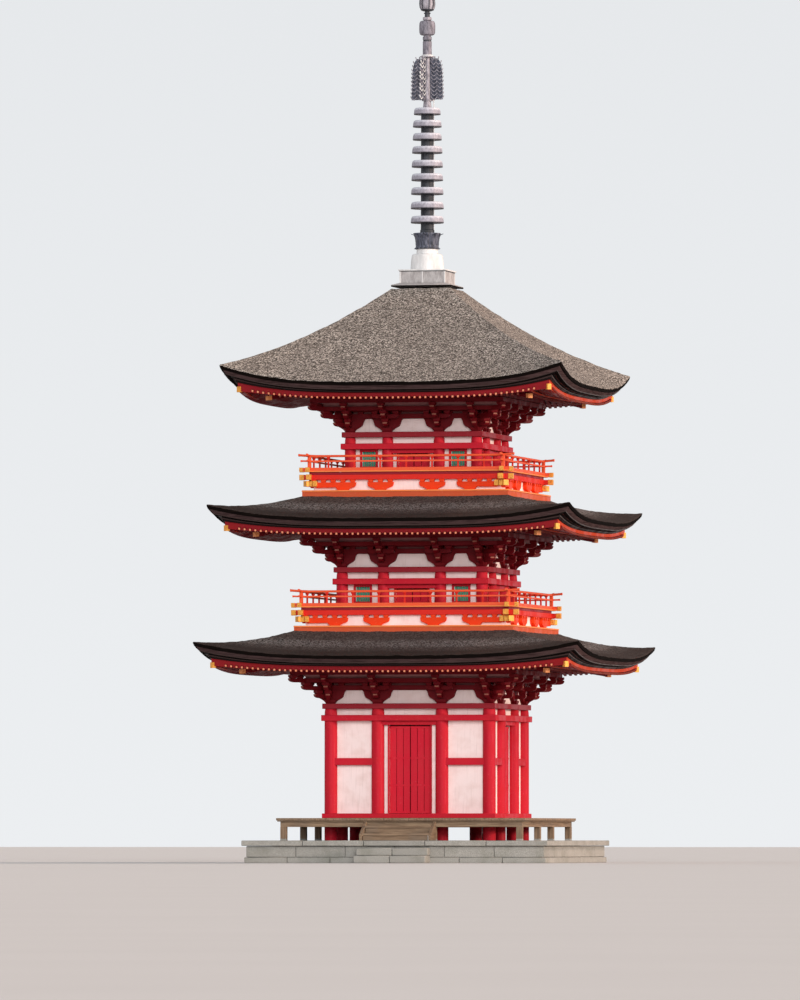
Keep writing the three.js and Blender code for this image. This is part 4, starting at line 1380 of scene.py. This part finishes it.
def ring_drum(piece, middle, r):
    """A low drum with rounded shoulders, on eight spokes."""
    low, high = middle - RING_HALF + RING_RAISE, middle + RING_HALF + RING_RAISE
    outline = [
        (r - 0.100, low + 0.030), (r - 0.020, low + 0.004), (r - 0.003, low), (r, low + 0.012),
        (r - 0.004, low + 0.050), (r - 0.008, high - 0.035), (r - 0.018, high - 0.012), (r - 0.035, high),
        (r - 0.070, high + 0.002), (r - 0.100, high - 0.012),
    ]
    piece.turned("ring_metal", outline, sides=RING_SIDES)
    # The tone is the height on the drum, which places the painted top highlight and lip shade.
    piece.tone[-1] = np.repeat([(z - low) / (high - low) for _, z in outline], RING_SIDES)
    for i in range(8):
        spoke = about(middle, SPOKE_HALF)
        piece.box("bronze", (0.09, r - 0.09), (-0.01, 0.01), spoke, around(i * math.pi / 4))


def finial_shaft():
    """The mast, its nine rings and a thin rod beside it."""
    piece = Piece()
    foot, sleeve = LOTUS_TOP, RINGS[-1][0] + 0.075
    mast = [(0.122, foot + 0.001), (0.122, foot + 0.05), (0.112, foot + 0.06), (0.106, sleeve)]
    piece.turned("mast_metal", mast, sides=40)
    neck = [(0.074, sleeve - 0.002), (0.072, sleeve + 0.03), (0.062, SHAFT_TOP - 0.001)]
    piece.turned("pale_bronze", neck, sides=40)
    for middle, r in RINGS:
        ring_drum(piece, middle, r)
    angles = np.arange(8) * math.pi / 4
    rod = [(ROD_OUT + ROD_RADIUS * math.cos(a), ROD_RADIUS * math.sin(a)) for a in angles]
    piece.upright("white_metal", rod, (foot + 0.02, SHAFT_TOP - 0.005), around(ROD_TURN))
    piece.make("nine_rings", ["finial_shaft"])


def ribbon(piece, look, path, widths, thick, turn):
    """A flat strip in an upright plane through the mast. path is (out, up) points."""
    path = np.asarray(path, float)
    ahead = np.gradient(path, axis=0)
    ahead /= np.maximum(np.linalg.norm(ahead, axis=1), 1e-9)[:, None]
    normal = np.stack([-ahead[:, 1], ahead[:, 0]], axis=1)
    rings = []
    for point, aside, width in zip(path, normal, widths):
        a, b = point + aside * width / 2, point - aside * width / 2
        edges = ((a, -thick), (b, -thick), (b, thick), (a, thick))
        rings.append([(out, t, z) for (out, z), t in edges])
    piece.loft(rings, look, place=around(turn))


def flame_tongue(piece, look, start, end, foot, turn):
    """A thin tongue that rises slanting from a stem of its plate and curls back at its tip."""
    rise, steps, sweep = 0.070, 7, 1.85
    path = []
    for i in range(steps):
        t = i / (steps - 1)
        path.append((start + (end - start) * math.sin(sweep * t), foot + rise * t))
    ribbon(piece, look, path, np.linspace(0.015, 0.009, steps), 0.009, turn)


def finial_flame():
    """Four plates round the mast, between two flanges: pale tongues in chevrons on a dark ground."""
    piece = Piece()
    low, high = SHAFT_TOP + 0.001, FLAME_TOP
    mast = [
        (0.095, low), (0.095, low + 0.014), (0.062, low + 0.03), (0.062, low + 0.30), (0.054, low + 0.32),
        (0.052, high - 0.02), (0.128, high - 0.014), (0.128, high - 0.001),
    ]
    piece.turned("pale_bronze", mast, sides=32)
    tiers = 11
    foot, crown = low + 0.020, high - 0.075
    heights = np.linspace(foot, crown, tiers)
    reaches = np.interp(np.linspace(0, 1, tiers), [0, 0.7, 0.9, 1], [0.308, 0.292, 0.262, 0.215])
    ground = [(0.03, foot), (0.03, high - 0.03)]
    ground += [(r - FLAME_TIP, z + 0.035) for r, z in zip(reaches[::-1], heights[::-1])]
    ground += [(reaches[0] - FLAME_TIP, foot)]
    for k in range(4):
        turn = k * math.pi / 2 + FLAME_TURN
        piece.outward("slate_bronze", ground, (-0.004, 0.004), around(turn))
        bright = "white_metal" if k % 2 else "pale_bronze"
        for share in (0.26, 0.75):
            stem = FLAME_ROOT + share * (reaches - FLAME_ROOT)
            for i, (z, r, reach) in enumerate(zip(heights, stem, reaches)):
                half = 0.25 * (reach - FLAME_ROOT)
                look = "pale_bronze" if i % 3 == round(share) else bright
                flame_tongue(piece, look, r, r + half, z, turn)
                flame_tongue(piece, look, r, r - half, z, turn)
    piece.make("flame_plates", ["finial_flame"])


def finial_ball():
    """A grooved stem and the upper ball, flattened above and below."""
    piece = Piece()
    low = FLAME_TOP + 0.001
    foot = [(0.050, low), (0.098, low), (0.098, low + 0.024), (0.077, low + 0.030), (0.050, low + 0.030)]
    stem = [
        (0.050, low + 0.028), (0.077, low + 0.028), (0.077, 14.052), (0.066, 14.056), (0.066, 14.080),
        (0.077, 14.084), (0.077, 14.134), (0.064, 14.140), (0.064, 14.164), (0.02, 14.164),
    ]
    groove = [(0.060, 14.058), (0.070, 14.058), (0.070, 14.078), (0.060, 14.078)]
    ball = [
        (0.02, 14.158), (0.100, 14.162), (0.122, 14.174), (0.135, 14.206), (0.138, 14.260),
        (0.138, 14.326), (0.134, 14.368), (0.121, 14.398), (0.102, 14.408), (0.070, 14.412),
        (0.060, BALL_TOP - 0.001), (0.02, BALL_TOP - 0.001),
    ]
    piece.turned("white_metal", foot, sides=40)
    piece.turned("ball_bronze", stem, sides=40)
    piece.turned("mast_metal", groove, sides=40)
    piece.turned("ball_bronze", ball)
    piece.make("upper_ball", ["finial_ball"])


def finial_jewel():
    """The flaming jewel at the tip: a pointed onion with eight dark fins."""
    piece = Piece()
    low = BALL_TOP + 0.001
    foot = [(0.060, low), (0.076, low + 0.004), (0.076, 14.466), (0.060, 14.476), (0.02, 14.478)]
    neck = [
        (0.02, 14.474), (0.044, 14.476), (0.044, 14.524), (0.058, 14.534), (0.058, 14.548),
        (0.040, 14.556), (0.040, 14.574), (0.02, 14.574),
    ]
    under = [(0.02, 14.570), (0.070, 14.574), (0.104, 14.588), (0.116, 14.606), (0.02, 14.606)]
    body = [
        (0.02, 14.600), (0.114, 14.604), (0.124, 14.640), (0.128, 14.690), (0.127, 14.740),
        (0.112, 14.800), (0.078, 14.870), (0.040, 14.930), (0.014, 14.970), (0.002, TIP - 0.002),
    ]
    piece.turned("pale_bronze", foot, sides=40)
    piece.turned("mast_metal", neck, sides=40)
    piece.turned("mast_metal", under)
    piece.turned("pale_bronze", body)
    fin = [
        (0.106, 14.59), (0.128, 14.64), (0.134, 14.70), (0.130, 14.76), (0.112, 14.82), (0.076, 14.88),
        (0.036, 14.955),
    ]
    widths = [0.008, 0.012, 0.014, 0.014, 0.014, 0.012, 0.006]
    for k in range(4):
        for offset in (0.30, 0.70):
            ribbon(piece, "mast_metal", fin, widths, 0.007, (k + offset) * math.pi / 2)
    piece.make("jewel", ["finial_jewel"])


# Everything in its place

for storey in STOREYS:
    bark_roof(storey)
    eaves(storey)
    brackets(storey)
    timber_frame(storey)
    for side in range(4):
        doors(storey, side)
    if storey.number > 1:
        balcony(storey)
        railing(storey)
platform()
stone_steps()
timber_steps(STOREYS[0])
veranda(STOREYS[0])
for finial_part in (
    finial_box, finial_bowl, finial_lotus, finial_shaft, finial_flame, finial_ball, finial_jewel,
):
    finial_part()

NODE_LOOKS = {"wall_": "plaster", "balcony_skirt": "plaster", "floor_": "boards"}
for node_name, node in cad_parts.items():
    for start, look in NODE_LOOKS.items():
        if node_name.startswith(start):
            node.data.materials.clear()
            node.data.materials.append(LOOKS[look])

# Floor, light and camera

FLOOR_HALF = 260.0
VIEW_AZIMUTH = math.radians(12.5)
VIEW_DISTANCE = 180.0
VIEW_HEIGHT = 0.45
AIM_HEIGHT = 6.20
AIM_ASIDE = -0.467
LENS = 379.1


def studio_floor():
    mesh = bpy.data.meshes.new("studio_floor")
    h = FLOOR_HALF
    mesh.from_pydata([(-h, -h, 0), (h, -h, 0), (h, h, 0), (-h, h, 0)], [], [(0, 1, 2, 3)])
    paint = Paint("studio_floor", 0.95, specular=0.1)
    patch = paint.noise(paint.where(), 0.4, 2)
    mesh.materials.append(paint.finish(paint.mix(patch, (0.60, 0.60, 0.59), (0.63, 0.63, 0.62))))
    floor = bpy.data.objects.new("studio_floor", mesh)
    bpy.context.scene.collection.objects.link(floor)


def sky():
    """A pale surround: bright at the level of the eye, greyer overhead."""
    world = bpy.data.worlds.new("studio")
    bpy.context.scene.world = world
    world.use_nodes = True
    nodes, links = world.node_tree.nodes, world.node_tree.links
    place = nodes.new("ShaderNodeTexCoord")
    split = nodes.new("ShaderNodeSeparateXYZ")
    ramp = nodes.new("ShaderNodeValToRGB")
    links.new(place.outputs["Generated"], split.inputs[0])
    links.new(split.outputs["Z"], ramp.inputs[0])
    links.new(ramp.outputs[0], nodes["Background"].inputs[0])
    ramp.color_ramp.elements[0].position = 0.0
    ramp.color_ramp.elements[0].color = (0.84, 0.86, 0.88, 1)
    ramp.color_ramp.elements[1].position = 0.8
    ramp.color_ramp.elements[1].color = (0.38, 0.39, 0.42, 1)


def sun(name, azimuth, elevation, energy, colour, angle):
    data = bpy.data.lights.new(name, "SUN")
    data.energy = energy
    data.color = colour
    data.angle = math.radians(angle)
    lamp = bpy.data.objects.new(name, data)
    bpy.context.scene.collection.objects.link(lamp)
    a, e = math.radians(azimuth), math.radians(elevation)
    toward = Vector((math.sin(a) * math.cos(e), -math.cos(a) * math.cos(e), math.sin(e)))
    lamp.rotation_euler = toward.to_track_quat("Z", "Y").to_euler()


def camera():
    data = bpy.data.cameras.new("camera")
    data.lens = LENS
    data.sensor_width = 36.0
    data.clip_end = 1000.0
    eye = bpy.data.objects.new("camera", data)
    bpy.context.scene.collection.objects.link(eye)
    a = VIEW_AZIMUTH
    aside = Vector((math.cos(a), math.sin(a), 0)) * AIM_ASIDE
    eye.location = aside + Vector((math.sin(a) * VIEW_DISTANCE, -math.cos(a) * VIEW_DISTANCE, VIEW_HEIGHT))
    aim = aside + Vector((0, 0, AIM_HEIGHT))
    eye.rotation_euler = (aim - eye.location).to_track_quat("-Z", "Y").to_euler()
    bpy.context.scene.camera = eye


studio_floor()
sky()
sun("front", 18, 15, 1.7, (1.0, 0.98, 0.96), 28)
sun("right", 80, 9, 2.15, (1.0, 0.77, 0.61), 8)
sun("crest", 120, 45, 1.25, (1.0, 0.70, 0.56), 10)
camera()
bpy.context.scene.view_settings.view_transform = "Standard"
